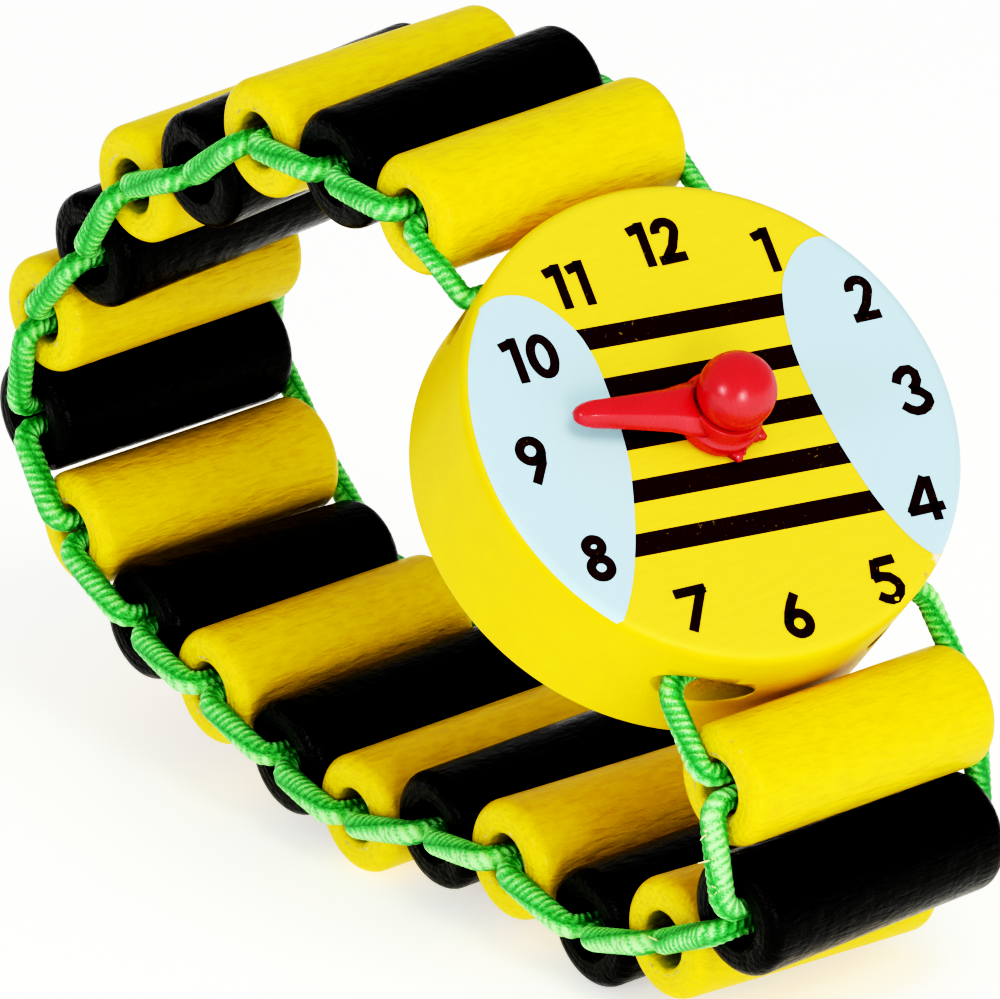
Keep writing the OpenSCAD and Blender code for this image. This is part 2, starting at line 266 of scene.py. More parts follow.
def feed(tree, node, inputs):
    """Gives a node its inputs, each a value to set, or a node or a socket to link."""
    for key, value in inputs.items():
        if isinstance(value, bpy.types.Node):
            value = value.outputs[0]
        if isinstance(value, bpy.types.NodeSocket):
            tree.links.new(value, node.inputs[key])
        else:
            node.inputs[key].default_value = value


def add(tree, kind, inputs=None, stops=(), **settings):
    """Adds one node with its settings and inputs. The stops are a colour ramp's places and colours."""
    new = tree.nodes.new(kind)
    for name, value in settings.items():
        setattr(new, name, value)
    if stops:
        for _ in stops[2:]:
            new.color_ramp.elements.new(0.5)
        for element, (place, shade) in zip(new.color_ramp.elements, stops):
            element.position, element.color = place, shade
    feed(tree, new, inputs or {})
    return new


def clamp(value, low=0.0, high=1.0):
    """A value held between two others."""
    return max(low, min(high, value))


def piece(name, mesh, material, smooth=True):
    """Links a finished mesh as an object at the origin."""
    mesh.materials.clear()
    mesh.materials.append(material)
    mesh.polygons.foreach_set("use_smooth", [smooth] * len(mesh.polygons))
    new = bpy.data.objects.new(name, mesh)
    bpy.context.collection.objects.link(new)
    return new


def plain(target):
    """The mesh that an object's modifiers leave."""
    return bpy.data.meshes.new_from_object(target.evaluated_get(bpy.context.evaluated_depsgraph_get()))


def as_mesh(bm, name):
    """Turns a bmesh into a mesh and frees it."""
    mesh = bpy.data.meshes.new(name)
    bm.to_mesh(mesh)
    bm.free()
    return mesh


def bridge(bm, rings):
    """Faces from each ring of vertices to the next; a ring of one vertex is a pole."""
    for low, high in zip(rings, rings[1:]):
        for k in range(max(len(low), len(high))):
            corners = (low[k % len(low)], low[(k + 1) % len(low)], high[(k + 1) % len(high)], high[k % len(high)])
            bm.faces.new(list(dict.fromkeys(corners)))


def lathe(name, profile, sides, closed):
    """Turns a profile of (radius, height) about z. A closed profile gives a ring, an open one starts and ends
    on the axis."""
    bm = bmesh.new()
    turns = [2 * math.pi * k / sides for k in range(sides)]
    rings = []
    for radius, height in profile:
        on_axis = radius < 1e-9
        rings.append([bm.verts.new((radius * math.cos(turn), radius * math.sin(turn), height))
                      for turn in (turns[:1] if on_axis else turns)])
    bridge(bm, rings + rings[:1] if closed else rings)
    bmesh.ops.recalc_face_normals(bm, faces=bm.faces)
    return as_mesh(bm, name)


def node_tree(name, floats, whole, result, route=None):
    """A Geometry Nodes tree with named number inputs and one geometry output."""
    tree = bpy.data.node_groups.new(name, "GeometryNodeTree")
    face = tree.interface
    if route:
        face.new_socket(route, in_out="INPUT", socket_type="NodeSocketGeometry")
    for fact in floats:
        face.new_socket(fact, in_out="INPUT", socket_type="NodeSocketFloat")
    face.new_socket(whole, in_out="INPUT", socket_type="NodeSocketInt")
    face.new_socket(result, in_out="OUTPUT", socket_type="NodeSocketGeometry")
    return tree, add(tree, "NodeGroupInput").outputs


def grown(name, data, tree, facts):
    """Runs a Geometry Nodes tree on some data with its inputs set, and gives back a plain mesh."""
    holder = bpy.data.objects.new(name, data)
    bpy.context.collection.objects.link(holder)
    modifier = holder.modifiers.new(tree.name, "NODES")
    modifier.node_group = tree
    sockets = {socket.name: socket.identifier for socket in tree.interface.items_tree}
    for fact, value in facts.items():
        modifier[sockets[fact]] = value
    mesh = plain(holder)
    bpy.data.objects.remove(holder)
    return mesh


def arc(centre, radius, start, end, steps, high=None):
    """Points of an arc, angles in degrees. It is an oval's where half the oval's height is given too."""
    turns = [math.radians(start + (end - start) * k / steps) for k in range(steps + 1)]
    return [(centre[0] + radius * math.cos(turn), centre[1] + (high or radius) * math.sin(turn)) for turn in turns]


def spaced(start, end, step):
    """Points on a straight line, without its ends."""
    count = max(1, round(math.dist(start, end) / step))
    return [tuple(a + (b - a) * k / count for a, b in zip(start, end)) for k in range(1, count)]


def remember(mesh, name, values):
    """Keeps a vector for each vertex, which a material reads as an attribute."""
    layer = mesh.attributes.new(name, "FLOAT_VECTOR", "POINT")
    layer.data.foreach_set("vector", [c for value in values for c in value])


# Materials

def new_material(name):
    """A new material, its node tree and its Principled shader."""
    material = bpy.data.materials.new(name)
    material.use_nodes = True
    return material, material.node_tree, material.node_tree.nodes["Principled BSDF"]


def tinted(shade, *shares):
    """A colour whose red, green and blue are each taken times a share, or all three times the same one."""
    return [min(1, c * f) for c, f in zip(shade[:3], shares if len(shares) == 3 else shares * 3)] + [1]


def painted_beech(name, paint, bare, rough, shine, coat, pits):
    """Beech turned on a lathe and dipped in enamel: the paint follows the pores and the turning marks, chips on
    the edges and runs out inside the bore. Reads "turned": each piece's own place in millimetres, z along the
    grain, and "rim": x is 1 on an edge, y is 1 on an end, z is 1 deep in the bore."""
    material, tree, shader = new_material(name)
    place = add(tree, "ShaderNodeAttribute", attribute_name="turned").outputs["Vector"]
    rim = add(tree, "ShaderNodeAttribute", attribute_name="rim").outputs["Vector"]
    rim = add(tree, "ShaderNodeSeparateXYZ", {0: rim}).outputs
    # pores about 0.3 mm wide and 1.5 mm long, drawn along the grain
    drawn = add(tree, "ShaderNodeVectorMath", {0: place, 1: (2.6, 2.6, 0.65)}, operation="MULTIPLY")
    pores = add(tree, "ShaderNodeTexNoise", {"Vector": drawn, "Scale": 1.0, "Detail": 4.0, "Roughness": 0.55})
    # orange peel of the dipped film, about 1 mm across
    peel = add(tree, "ShaderNodeTexNoise", {"Vector": place, "Scale": 1.1, "Detail": 1.0})
    # dust and grit under the paint, 0.15 mm
    grit = add(tree, "ShaderNodeTexNoise", {"Vector": place, "Scale": 5.5, "Detail": 2.0, "Roughness": 0.7})
    flat = add(tree, "ShaderNodeVectorMath", {0: place, 1: (1, 1, 0)}, operation="MULTIPLY")
    reach = add(tree, "ShaderNodeVectorMath", {0: flat}, operation="LENGTH").outputs["Value"]
    # rings left by the turning tool on the ends, 0.4 mm apart
    rings = add(tree, "ShaderNodeMath", {0: reach, 1: 2 * math.pi / 0.4}, operation="MULTIPLY")
    rings = add(tree, "ShaderNodeMath", {0: rings}, operation="SINE")
    rings = add(tree, "ShaderNodeMath", {0: rings, 1: rim["Y"]}, operation="MULTIPLY")
    grooves = add(tree, "ShaderNodeMapRange", {"Value": pores, "From Min": 0.3, "From Max": 0.55})
    height = add(tree, "ShaderNodeMath", {0: grooves, 1: pits}, operation="MULTIPLY")
    for layer, share in ((peel, 0.7), (grit, 0.22), (rings, 0.06)):
        height = add(tree, "ShaderNodeMath", {0: layer, 1: share, 2: height}, operation="MULTIPLY_ADD")
    bump = add(tree, "ShaderNodeBump", {"Height": height, "Strength": 0.85, "Distance": 0.16 * MM})
    # the film is a little deeper in colour in the pores and where it has run thick
    thin = [min(1, c * 1.04 + 0.002) for c in paint[:3]] + [1]
    thick = tinted(paint, 0.95, 0.88, 0.66)
    film = add(tree, "ShaderNodeValToRGB", {"Fac": height}, stops=[(0.3, thick), (0.8, thin)])
    # bare wood: deep in the bore, and chipped spots on the edges
    ragged = add(tree, "ShaderNodeMath", {0: grit, 1: 0.8, 2: rim["Z"]}, operation="MULTIPLY_ADD")
    inside = add(tree, "ShaderNodeMapRange", {"Value": ragged, "From Min": 0.55, "From Max": 0.8})
    spots = add(tree, "ShaderNodeTexNoise", {"Vector": place, "Scale": 0.9, "Detail": 4.0, "Roughness": 0.65})
    chipped = add(tree, "ShaderNodeMath", {0: spots, 1: rim["X"]}, operation="MULTIPLY")
    chipped = add(tree, "ShaderNodeMapRange", {"Value": chipped, "From Min": 0.6, "From Max": 0.62})
    worn = add(tree, "ShaderNodeMath", {0: inside, 1: chipped}, operation="MAXIMUM")
    fibre = add(tree, "ShaderNodeValToRGB", {"Fac": pores}, stops=[(0.3, tinted(bare, 0.5)), (0.7, bare)])
    surface = add(tree, "ShaderNodeMix", {0: worn, 6: film, 7: fibre}, data_type="RGBA")
    dull = add(tree, "ShaderNodeMath", {0: peel, 1: 0.2, 2: rough - 0.1}, operation="MULTIPLY_ADD")
    dull = add(tree, "ShaderNodeMath", {0: worn, 1: 0.45, 2: dull}, operation="MULTIPLY_ADD", use_clamp=True)
    feed(tree, shader, {"Base Color": surface.outputs[2], "Roughness": dull, "Normal": bump,
                        "Specular IOR Level": shine, "Coat Weight": coat, "Coat Roughness": 0.12})
    return material


def printing_ink(name, shade, fleck, gap):
    """Pad-printed ink on enamel: a thin satin film that misses specks where the paint under it is rough. The
    specks lie where the noise passes the gap."""
    material, tree, shader = new_material(name)
    place = add(tree, "ShaderNodeTexCoord").outputs["Object"]
    # specks about 0.12 mm across
    specks = add(tree, "ShaderNodeTexNoise", {"Vector": place, "Scale": 4200.0, "Detail": 3.0, "Roughness": 0.6})
    clouds = add(tree, "ShaderNodeTexNoise", {"Vector": place, "Scale": 420.0, "Detail": 2.0})
    mixed = add(tree, "ShaderNodeMath", {0: clouds, 1: 0.25, 2: specks}, operation="MULTIPLY_ADD")
    film = add(tree, "ShaderNodeValToRGB", {"Fac": mixed},
               stops=[(0.35, tinted(shade, 0.96)), (gap, shade), (gap + 0.03, fleck)])
    bump = add(tree, "ShaderNodeBump", {"Height": specks, "Strength": 0.25, "Distance": 0.03 * MM})
    feed(tree, shader, {"Base Color": film, "Normal": bump, "Roughness": 0.42, "Specular IOR Level": 0.25})
    return material


def moulded_plastic(name, shade):
    """Injection-moulded polyethylene: waxy, lets a little light in, with flow marks and fine handling scuffs."""
    material, tree, shader = new_material(name)
    place = add(tree, "ShaderNodeTexCoord").outputs["Object"]
    flow = add(tree, "ShaderNodeTexNoise", {"Vector": place, "Scale": 380.0, "Detail": 3.0})
    drawn = add(tree, "ShaderNodeMapping", {"Vector": place, "Rotation": (0.3, 0.2, 0.7),
                                            "Scale": (900, 5200, 900)})
    scuffs = add(tree, "ShaderNodeTexNoise", {"Vector": drawn, "Scale": 1.0, "Detail": 2.0})
    tint = add(tree, "ShaderNodeValToRGB", {"Fac": flow},
               stops=[(0.3, tinted(shade, 0.9)), (0.7, tinted(shade, 1.06))])
    height = add(tree, "ShaderNodeMath", {0: scuffs, 1: 0.12, 2: flow}, operation="MULTIPLY_ADD")
    bump = add(tree, "ShaderNodeBump", {"Height": height, "Strength": 0.35, "Distance": 0.08 * MM})
    dull = add(tree, "ShaderNodeMapRange", {"Value": scuffs, "From Min": 0.3, "From Max": 0.7, "To Min": 0.22,
                                            "To Max": 0.36})
    feed(tree, shader, {"Base Color": tint, "Normal": bump, "Roughness": dull, "IOR": 1.49,
                        "Specular IOR Level": 1.0, "Subsurface Weight": 0.25,
                        "Subsurface Radius": (1.0, 0.15, 0.1), "Subsurface Scale": 0.8 * MM})
    return material


def plait(tree, along, around, pitch, slant):
    """Height of a plaited cord's surface, 0 between ribs and 1 on a crown; its rows, 0 at a seam and 1 in the
    middle; and 1 on the middle row. Three rows of ribs run along the cord and turn slowly round it. The middle
    one slants the other way and is shifted by half a rib, so it interlocks with its neighbours at each seam."""
    rows_round = 3.0
    rows_a_rib = 0.05       # how slowly the rows turn round the cord
    turns = add(tree, "ShaderNodeMath", {0: along, 1: pitch}, operation="DIVIDE")
    # a hundred rounds more keep the count of rows above zero
    rows = add(tree, "ShaderNodeMath", {0: around, 1: rows_round / 2 / math.pi, 2: 100 * rows_round},
               operation="MULTIPLY_ADD")
    rows = add(tree, "ShaderNodeMath", {0: turns, 1: rows_a_rib, 2: rows}, operation="MULTIPLY_ADD")
    place = add(tree, "ShaderNodeMath", {0: rows}, operation="FRACT")
    place = add(tree, "ShaderNodeMath", {0: place, 1: -0.5}, operation="ADD")
    middle = add(tree, "ShaderNodeMath", {0: rows}, operation="FLOOR")
    middle = add(tree, "ShaderNodeMath", {0: middle, 1: rows_round}, operation="MODULO")
    middle = add(tree, "ShaderNodeMath", {0: middle, 1: 1.0, 2: 0.5}, operation="COMPARE")
    way = add(tree, "ShaderNodeMath", {0: middle, 1: -2.0, 2: 1.0}, operation="MULTIPLY_ADD")
    lean = add(tree, "ShaderNodeMath", {0: place, 1: slant}, operation="MULTIPLY")
    lean = add(tree, "ShaderNodeMath", {0: lean, 1: way}, operation="MULTIPLY")
    phase = add(tree, "ShaderNodeMath", {0: middle, 1: 0.5, 2: turns}, operation="MULTIPLY_ADD")
    phase = add(tree, "ShaderNodeMath", {0: phase, 1: lean}, operation="ADD")
    # no rib is quite like the next
    spot = add(tree, "ShaderNodeCombineXYZ", {0: turns, 1: rows})
    uneven = add(tree, "ShaderNodeTexNoise", {"Vector": spot, "Scale": 0.9, "Detail": 2.0})
    phase = add(tree, "ShaderNodeMath", {0: uneven, 1: 0.9, 2: phase}, operation="MULTIPLY_ADD")
    phase = add(tree, "ShaderNodeMath", {0: phase, 1: 2 * math.pi}, operation="MULTIPLY")
    crown = add(tree, "ShaderNodeMath", {0: phase}, operation="COSINE")
    crown = add(tree, "ShaderNodeMath", {0: crown, 1: 0.5, 2: 0.5}, operation="MULTIPLY_ADD")
    row = add(tree, "ShaderNodeMath", {0: place, 1: math.pi}, operation="MULTIPLY")
    row = add(tree, "ShaderNodeMath", {0: row}, operation="COSINE")
    soft = add(tree, "ShaderNodeMath", {0: row, 1: 0.5}, operation="POWER")
    return add(tree, "ShaderNodeMath", {0: crown, 1: soft}, operation="MULTIPLY"), row, middle


def braided_polyester(name, cord):
    """Polyester yarn braided over rubber thread: rows of short slanting ribs that interlock in a zigzag. Its colour
    has a painted highlight on the rib crowns and painted shade between the ribs and at the seams of the rows. Reads
    "braid": millimetres along the cord, then the cosine and sine of the place around it."""
    material, tree, shader = new_material(name)
    braid = add(tree, "ShaderNodeAttribute", attribute_name="braid").outputs["Vector"]
    split = add(tree, "ShaderNodeSeparateXYZ", {0: braid})
    around = add(tree, "ShaderNodeMath", {0: split.outputs["Z"], 1: split.outputs["Y"]}, operation="ARCTAN2")
    crown, row, middle = plait(tree, split.outputs["X"], around, cord.rib / MM, cord.rib_slant)
    # filaments, about 0.1 mm
    yarn = add(tree, "ShaderNodeVectorMath", {0: braid, 1: (5.0, 4.0, 4.0)}, operation="MULTIPLY")
    threads = add(tree, "ShaderNodeTexNoise", {"Vector": yarn, "Scale": 1.6, "Detail": 3.0, "Roughness": 0.7})
    # stretches about 2 mm long where the yarn lies looser or tighter
    loose = add(tree, "ShaderNodeVectorMath", {0: braid, 1: (0.6, 1.2, 1.2)}, operation="MULTIPLY")
    loose = add(tree, "ShaderNodeTexNoise", {"Vector": loose, "Scale": 1.0, "Detail": 1.0})
    height = add(tree, "ShaderNodeMath", {0: threads, 1: 0.6, 2: crown}, operation="MULTIPLY_ADD")
    bump = add(tree, "ShaderNodeBump", {"Height": height, "Strength": 0.8, "Distance": 0.1 * MM})
    tone = add(tree, "ShaderNodeMath", {0: threads, 1: 0.75}, operation="MULTIPLY")
    # painted highlight on the rib crowns, painted shade between the ribs and at the seams of the rows; the middle row
    # is lighter
    for layer, share in ((crown, 0.2), (row, 0.2), (middle, 0.13), (loose, 0.25)):
        tone = add(tree, "ShaderNodeMath", {0: layer, 1: share, 2: tone}, operation="MULTIPLY_ADD")
    # the ramp runs from painted shade in the deep green to a painted highlight in the light green
    tint = add(tree, "ShaderNodeValToRGB", {"Fac": tone},
               stops=[(0.52, cord.deep), (0.72, cord.green), (0.92, cord.bright)])
    feed(tree, shader, {"Base Color": tint, "Normal": bump, "Roughness": 0.42, "Sheen Weight": 0.15,
                        "Sheen Roughness": 0.4})
    return material


def latex(name, shade):
    """Natural latex thread: pale, a little dusty with the talc it was packed in."""
    material, tree, shader = new_material(name)
    place = add(tree, "ShaderNodeTexCoord").outputs["Object"]
    dust = add(tree, "ShaderNodeTexNoise", {"Vector": place, "Scale": 9000.0, "Detail": 2.0})
    tint = add(tree, "ShaderNodeValToRGB", {"Fac": dust}, stops=[(0.35, tinted(shade, 0.7)), (0.6, shade)])
    feed(tree, shader, {"Base Color": tint, "Roughness": 0.6})
    return material


def matt_floor(name, shade, glow):
    """Matt paper over a lit table: nearly white, with a faint tooth, and it lightens the shade a little."""
    material, tree, shader = new_material(name)
    place = add(tree, "ShaderNodeTexCoord").outputs["Object"]
    tooth = add(tree, "ShaderNodeTexNoise", {"Vector": place, "Scale": 900.0, "Detail": 2.0})
    tint = add(tree, "ShaderNodeValToRGB", {"Fac": tooth}, stops=[(0.3, tinted(shade, 0.99)), (0.7, shade)])
    feed(tree, shader, {"Base Color": tint, "Roughness": 0.85, "Emission Color": shade,
                        "Emission Strength": glow})
    return material


def shared(name, make, **facts):
    """Makes a material once and then hands out the same one."""
    return bpy.data.materials.get(name) or make(name, **facts)


# Shapes

def turned_bead(name, sizes, seed):
    """A bead in its own frame, z along its axis: bore, broken mouths, rounded ends, and a slight waver."""
    half = sizes.length / 2
    radius = sizes.diameter / 2
    bore = sizes.bore / 2
    edge = sizes.rounding
    mouth = sizes.mouth
    lower = ([(bore, mouth - half)] + arc((bore + mouth, mouth - half), mouth, 180, 270, 4)[1:]
             + spaced((bore + mouth, -half), (radius - edge, -half), 0.3 * MM)
             + arc((radius - edge, edge - half), edge, -90, 0, 8))
    upper = [(r, -z) for r, z in reversed(lower)]
    wall = spaced((radius, edge - half), (radius, half - edge), 0.6 * MM)
    inner = spaced((bore, half - mouth), (bore, mouth - half), 1.2 * MM)
    mesh = lathe(name, lower + wall + upper + inner, 72, closed=True)
    shift = Vector((seed * 7.3, seed * 3.1, seed * 5.7))
    rest = [v.co.copy() for v in mesh.vertices]
    facts = []
    for vertex, place in zip(mesh.vertices, rest):
        out = math.hypot(place.x, place.y)
        deep = half - abs(place.z)
        in_bore = out < bore * 1.05
        # the mouth of the bore chips more easily than the rounded edge
        brink = max(0.95 - abs(out - radius + edge * 0.3) / edge, 1.2 - abs(out - bore - mouth) / mouth)
        facts.append((max(0, brink) * clamp(2.4 - 2 * deep / edge), clamp(1 - deep / (edge * 0.4)),
                      clamp(deep / edge - 0.5) if in_bore else 0))
        if not in_bore:
            # swells about 5 mm wide, and finer ones 1.4 mm wide and 6 mm long
            slow = noise.noise(place / (5 * MM) + shift)
            quick = noise.noise(Vector((place.x / (1.4 * MM), place.y / (1.4 * MM), place.z / (6 * MM))) + shift)
            depth = sizes.waver * (0.6 * slow + 0.4 * quick - 0.55)
            vertex.co = place + Vector((place.x, place.y, 0)).normalized() * depth
    # each bead shows another stretch of the same wood
    remember(mesh, "turned", [place / MM + Vector((0, 0, seed * 40)) for place in rest])
    remember(mesh, "rim", facts)
    return mesh


class Lacing:
    """The elastic's route, worked out as it is laced: two strands cross inside each bead by half a turn round
    each other, and a link on each side joins two neighbours. A route is a list of points, each with the cord's
    thickness there as a share."""
    # steps of a strand through a bead, of a quarter turn out of a hole, and of the straight between two of them
    STRAND, QUARTER, STRAIGHT = 14, 8, 8
    # thickness of the knot from the middle of its bore outwards, as shares of the cord's
    KNOT = (1.75, 1.95, 2.05, 1.9, 1.6, 1.2)

    def __init__(self, watch):
        self.bead = watch.bead
        self.cord = watch.elastic
        self.head = watch.head
        self.offset = (self.cord.diameter + self.cord.strand_gap) / 2
        self.dip = self.bead.rounding / 3
        self.half = self.bead.length / 2 - self.dip
        # pulled tight, the cord has bitten into the wall of its bore: towards the middle of the face where it only
        # passes through, and towards the face at the knot
        knot_y, loop_y = bore_places(self.head)
        width = self.cord.diameter * self.cord.drawn
        slack = (self.head.loop_bore - width) / 2 + self.cord.diameter / 4
        lean = 0.3      # radians, from the middle towards the face
        self.loop_place = (loop_y + slack * math.cos(lean), self.head.bore_rise + slack * math.sin(lean))
        slack = (self.head.knot_bore - width) / 2
        self.knot_place = (knot_y, self.head.bore_rise + slack * 0.9)

    def bead_end(self, i, side, toward, bow):
        """Where a strand leaves bead i: the point, the way out and the radius of its turn."""
        local = Vector((toward * self.offset, 0, side * self.half))
        return bead_at(i) + bead_frame(i) @ local, side * bead_axis(i), bow + self.dip

    def head_end(self, place, side, bow, turn):
        """Where a strand leaves its bore in the head: the point, the way out and the radius of its turn."""
        out = self.bead.length / 2 + bow - turn
        local = Vector((side * out, place[0], place[1] - self.head.thickness / 2))
        return HEAD_FRAME @ local, side * TO_3, turn

    def strand(self, i, first, start, end):
        """One strand in bead i; the share along it runs from start to end."""
        sign = 1 if first else -1
        points = []
        for k in range(self.STRAND + 1):
            share = start + (end - start) * k / self.STRAND
            turn = math.pi * share
            local = Vector((-sign * self.offset * math.cos(turn), sign * self.offset * math.sin(turn),
                            (2 * share - 1) * self.half))
            points.append((bead_at(i) + bead_frame(i) @ local, self.cord.drawn))
        return points

    def quarter(self, end, other):
        """The quarter turn by which the cord comes out of one hole towards another."""
        place, out, radius = end
        aside = other[0] - place
        aside = (aside - aside.dot(out) * out).normalized()
        turns = [math.pi / 2 * k / self.QUARTER for k in range(self.QUARTER + 1)]
        return [place + radius * (math.sin(turn) * out + (1 - math.cos(turn)) * aside) for turn in turns]

    def link(self, ends, middle, bulge=0.0):
        """From hole to hole; middle is the thickness half-way, bulge how far the middle stands out more."""
        first = self.quarter(*ends)
        last = self.quarter(*reversed(ends))
        between = [first[-1].lerp(last[-1], k / self.STRAIGHT) for k in range(1, self.STRAIGHT)]
        route = first + between + last[::-1]
        out = (ends[0][1] + ends[1][1]).normalized()
        waves = [math.sin(math.pi * k / (len(route) - 1)) for k in range(len(route))]
        return [(point + out * bulge * wave, self.cord.drawn + (middle - self.cord.drawn) * wave ** 0.6)
                for point, wave in zip(route, waves)]

    def bead_link(self, i, side):
        """The link on one side from bead i to the next. No two are quite alike."""
        own = Random(2 * i + side)
        bow = self.cord.bow
        return self.link((self.bead_end(i, side, 1, bow), self.bead_end(i + 1, side, -1, bow)),
                         self.cord.drawn + self.cord.swell * own.uniform(0.7, 1.2),
                         self.cord.bulge * own.uniform(0.5, 1.4))

    def knot_link(self, side):
        """The taut link on one side from the knot's bore to bead 1."""
        bow = self.cord.knot_bow
        return self.link((self.head_end(self.knot_place, side, bow - self.cord.knot_lean, self.head.knot_turn),
                          self.bead_end(1, side, -1, bow)), self.cord.taut)

    def loop_link(self, side):
        """The link on one side from the last bead to the loop's bore, a little swollen half-way."""
        return self.link((self.bead_end(BEADS, side, 1, self.cord.bow),
                          self.head_end(self.loop_place, side, self.cord.loop_bow, self.head.loop_turn)),
                         self.cord.drawn + 0.04)

    def between(self, i, side):
        """From the middle of bead i over the link on one side to the middle of the next bead."""
        near = side < 0
        return (self.strand(i, not near, 0.5, 0 if near else 1)[:-1] + self.bead_link(i, side)
                + self.strand(i + 1, near, 0 if near else 1, 0.5)[1:])

    def to_head(self, i, side):
        """From bead i, entered at one side, over the links up to the head."""
        near = side < 0
        inside = self.strand(i, near, 0 if near else 1, 1 if near else 0)[1:-1]
        if i == BEADS:
            return inside + self.loop_link(-side)
        return inside + self.bead_link(i, -side) + self.to_head(i + 1, -side)

    def lower(self):
        """The whole stretch below the head, from the middle of bead 17 through the loop's bore and back."""
        before = self.STRAND // 2 - 1       # points of a strand before the middle of its bead
        up = self.to_head(FIRST_STILL, -1)
        down = list(reversed(self.to_head(FIRST_STILL, 1)))
        return up[before:] + down[:-before]

    def upper(self, side):
        """From the knot in the middle of the head's upper bore to the middle of bead 1."""
        near = side < 0
        route = self.knot_link(side)
        middle = HEAD_FRAME @ Vector((0, self.knot_place[0], self.head.bore_rise - self.head.thickness / 2))
        lumps = self.KNOT + (self.cord.drawn,) * 10
        inside = [(middle.lerp(route[0][0], k / len(lumps)), lump) for k, lump in enumerate(lumps)]
        return inside + route + self.strand(1, near, 0 if near else 1, 0.5)[1:]


def braid_tree(material):
    """Geometry Nodes tree: sweeps a round cord along a curve and raises the braid's ribs on it."""
    tree = bpy.data.node_groups.get("Braided cord")
    if tree:
        return tree
    tree, ask = node_tree("Braided cord", ("Radius", "Ring Spacing", "Rib Pitch", "Rib Depth", "Rib Slant"),
                          "Sides", "Cord", route="Route")
    even = add(tree, "GeometryNodeResampleCurve", {"Curve": ask["Route"], "Length": ask["Ring Spacing"]},
               mode="LENGTH")
    run = add(tree, "GeometryNodeSplineParameter").outputs["Length"]
    kept = add(tree, "GeometryNodeStoreNamedAttribute", {"Geometry": even, "Name": "run", "Value": run},
               data_type="FLOAT", domain="POINT")
    ring = add(tree, "GeometryNodeCurvePrimitiveCircle", {"Resolution": ask["Sides"], "Radius": ask["Radius"]})
    spot = add(tree, "GeometryNodeInputPosition")
    ring = add(tree, "GeometryNodeStoreNamedAttribute", {"Geometry": ring, "Name": "ring", "Value": spot},
               data_type="FLOAT_VECTOR", domain="POINT")
    thick = add(tree, "GeometryNodeInputRadius")
    swept = add(tree, "GeometryNodeCurveToMesh", {"Curve": kept, "Profile Curve": ring, "Scale": thick,
                                                  "Fill Caps": True})
    length_now = add(tree, "GeometryNodeInputNamedAttribute", {"Name": "run"}, data_type="FLOAT")
    ring_now = add(tree, "GeometryNodeInputNamedAttribute", {"Name": "ring"}, data_type="FLOAT_VECTOR")
    unit = add(tree, "ShaderNodeVectorMath", {0: ring_now}, operation="NORMALIZE")
    parts = add(tree, "ShaderNodeSeparateXYZ", {0: unit})
    around = add(tree, "ShaderNodeMath", {0: parts.outputs["Y"], 1: parts.outputs["X"]}, operation="ARCTAN2")
    crown = plait(tree, length_now, around, ask["Rib Pitch"], ask["Rib Slant"])[0]
    crown = add(tree, "ShaderNodeMath", {0: crown, 1: -1.0}, operation="ADD")
    lift = add(tree, "ShaderNodeMath", {0: crown, 1: ask["Rib Depth"]}, operation="MULTIPLY")
    normal = add(tree, "GeometryNodeInputNormal")
    move = add(tree, "ShaderNodeVectorMath", {0: normal, "Scale": lift}, operation="SCALE")
    ribbed = add(tree, "GeometryNodeSetPosition", {"Geometry": swept, "Offset": move})
    in_mm = add(tree, "ShaderNodeMath", {0: length_now, 1: 1 / MM}, operation="MULTIPLY")
    note = add(tree, "ShaderNodeCombineXYZ", {0: in_mm, 1: parts.outputs["X"], 2: parts.outputs["Y"]})
    noted = add(tree, "GeometryNodeStoreNamedAttribute", {"Geometry": ribbed, "Name": "braid", "Value": note},
                data_type="FLOAT_VECTOR", domain="POINT")
    real = add(tree, "GeometryNodeRealizeInstances", {"Geometry": noted})
    done = add(tree, "GeometryNodeSetMaterial", {"Geometry": real, "Material": material})
    add(tree, "NodeGroupOutput", {"Cord": done})
    return tree


def braided_cord(name, route, cord, material):
    """A braided cord along a route of points and thicknesses."""
    path = bpy.data.curves.new(name + "_route", "CURVE")
    path.dimensions = "3D"
    spline = path.splines.new("POLY")
    spline.points.add(len(route) - 1)
    for target, (point, share) in zip(spline.points, route):
        target.co = (*point, 1)
        target.radius = share
    mesh = grown(name + "_route", path, braid_tree(material), {
        "Radius": cord.diameter / 2, "Ring Spacing": cord.ring, "Rib Pitch": cord.rib,
        "Rib Depth": cord.rib_depth, "Rib Slant": cord.rib_slant, "Sides": 24})
    for extra in ("run", "ring"):
        if extra in mesh.attributes:
            mesh.attributes.remove(mesh.attributes[extra])
    return piece(name, mesh, material)


# Operators, one for each piece or group of like pieces

class WATCH_OT_beads(bpy.types.Operator):
    """Turn the nineteen painted beads"""
    bl_idname = "toy_watch.beads"
    bl_label = "Painted beads"

    def execute(self, context):
        sizes = context.scene.toy_watch.bead
        yellow = shared("yellow enamel on beech", painted_beech, paint=sizes.yellow, bare=sizes.bare,
                        rough=0.38, shine=0.35, coat=0.12, pits=0.3)
        black = shared("black gloss enamel on beech", painted_beech, paint=sizes.black, bare=sizes.stained,
                       rough=0.2, shine=0.24, coat=0.03, pits=0.2)
        for i in range(1, BEADS + 1):
            mesh = turned_bead("painted_bead_%02d" % i, sizes, i)
            place = bead_frame(i).to_4x4()
            place.translation = bead_at(i)
            mesh.transform(place)
            bead = piece("painted_bead_%02d" % i, mesh, yellow if i % 2 else black)
            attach(bead, "rung_%02d" % i)
            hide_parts("bead_%02d" % i)
        return {"FINISHED"}


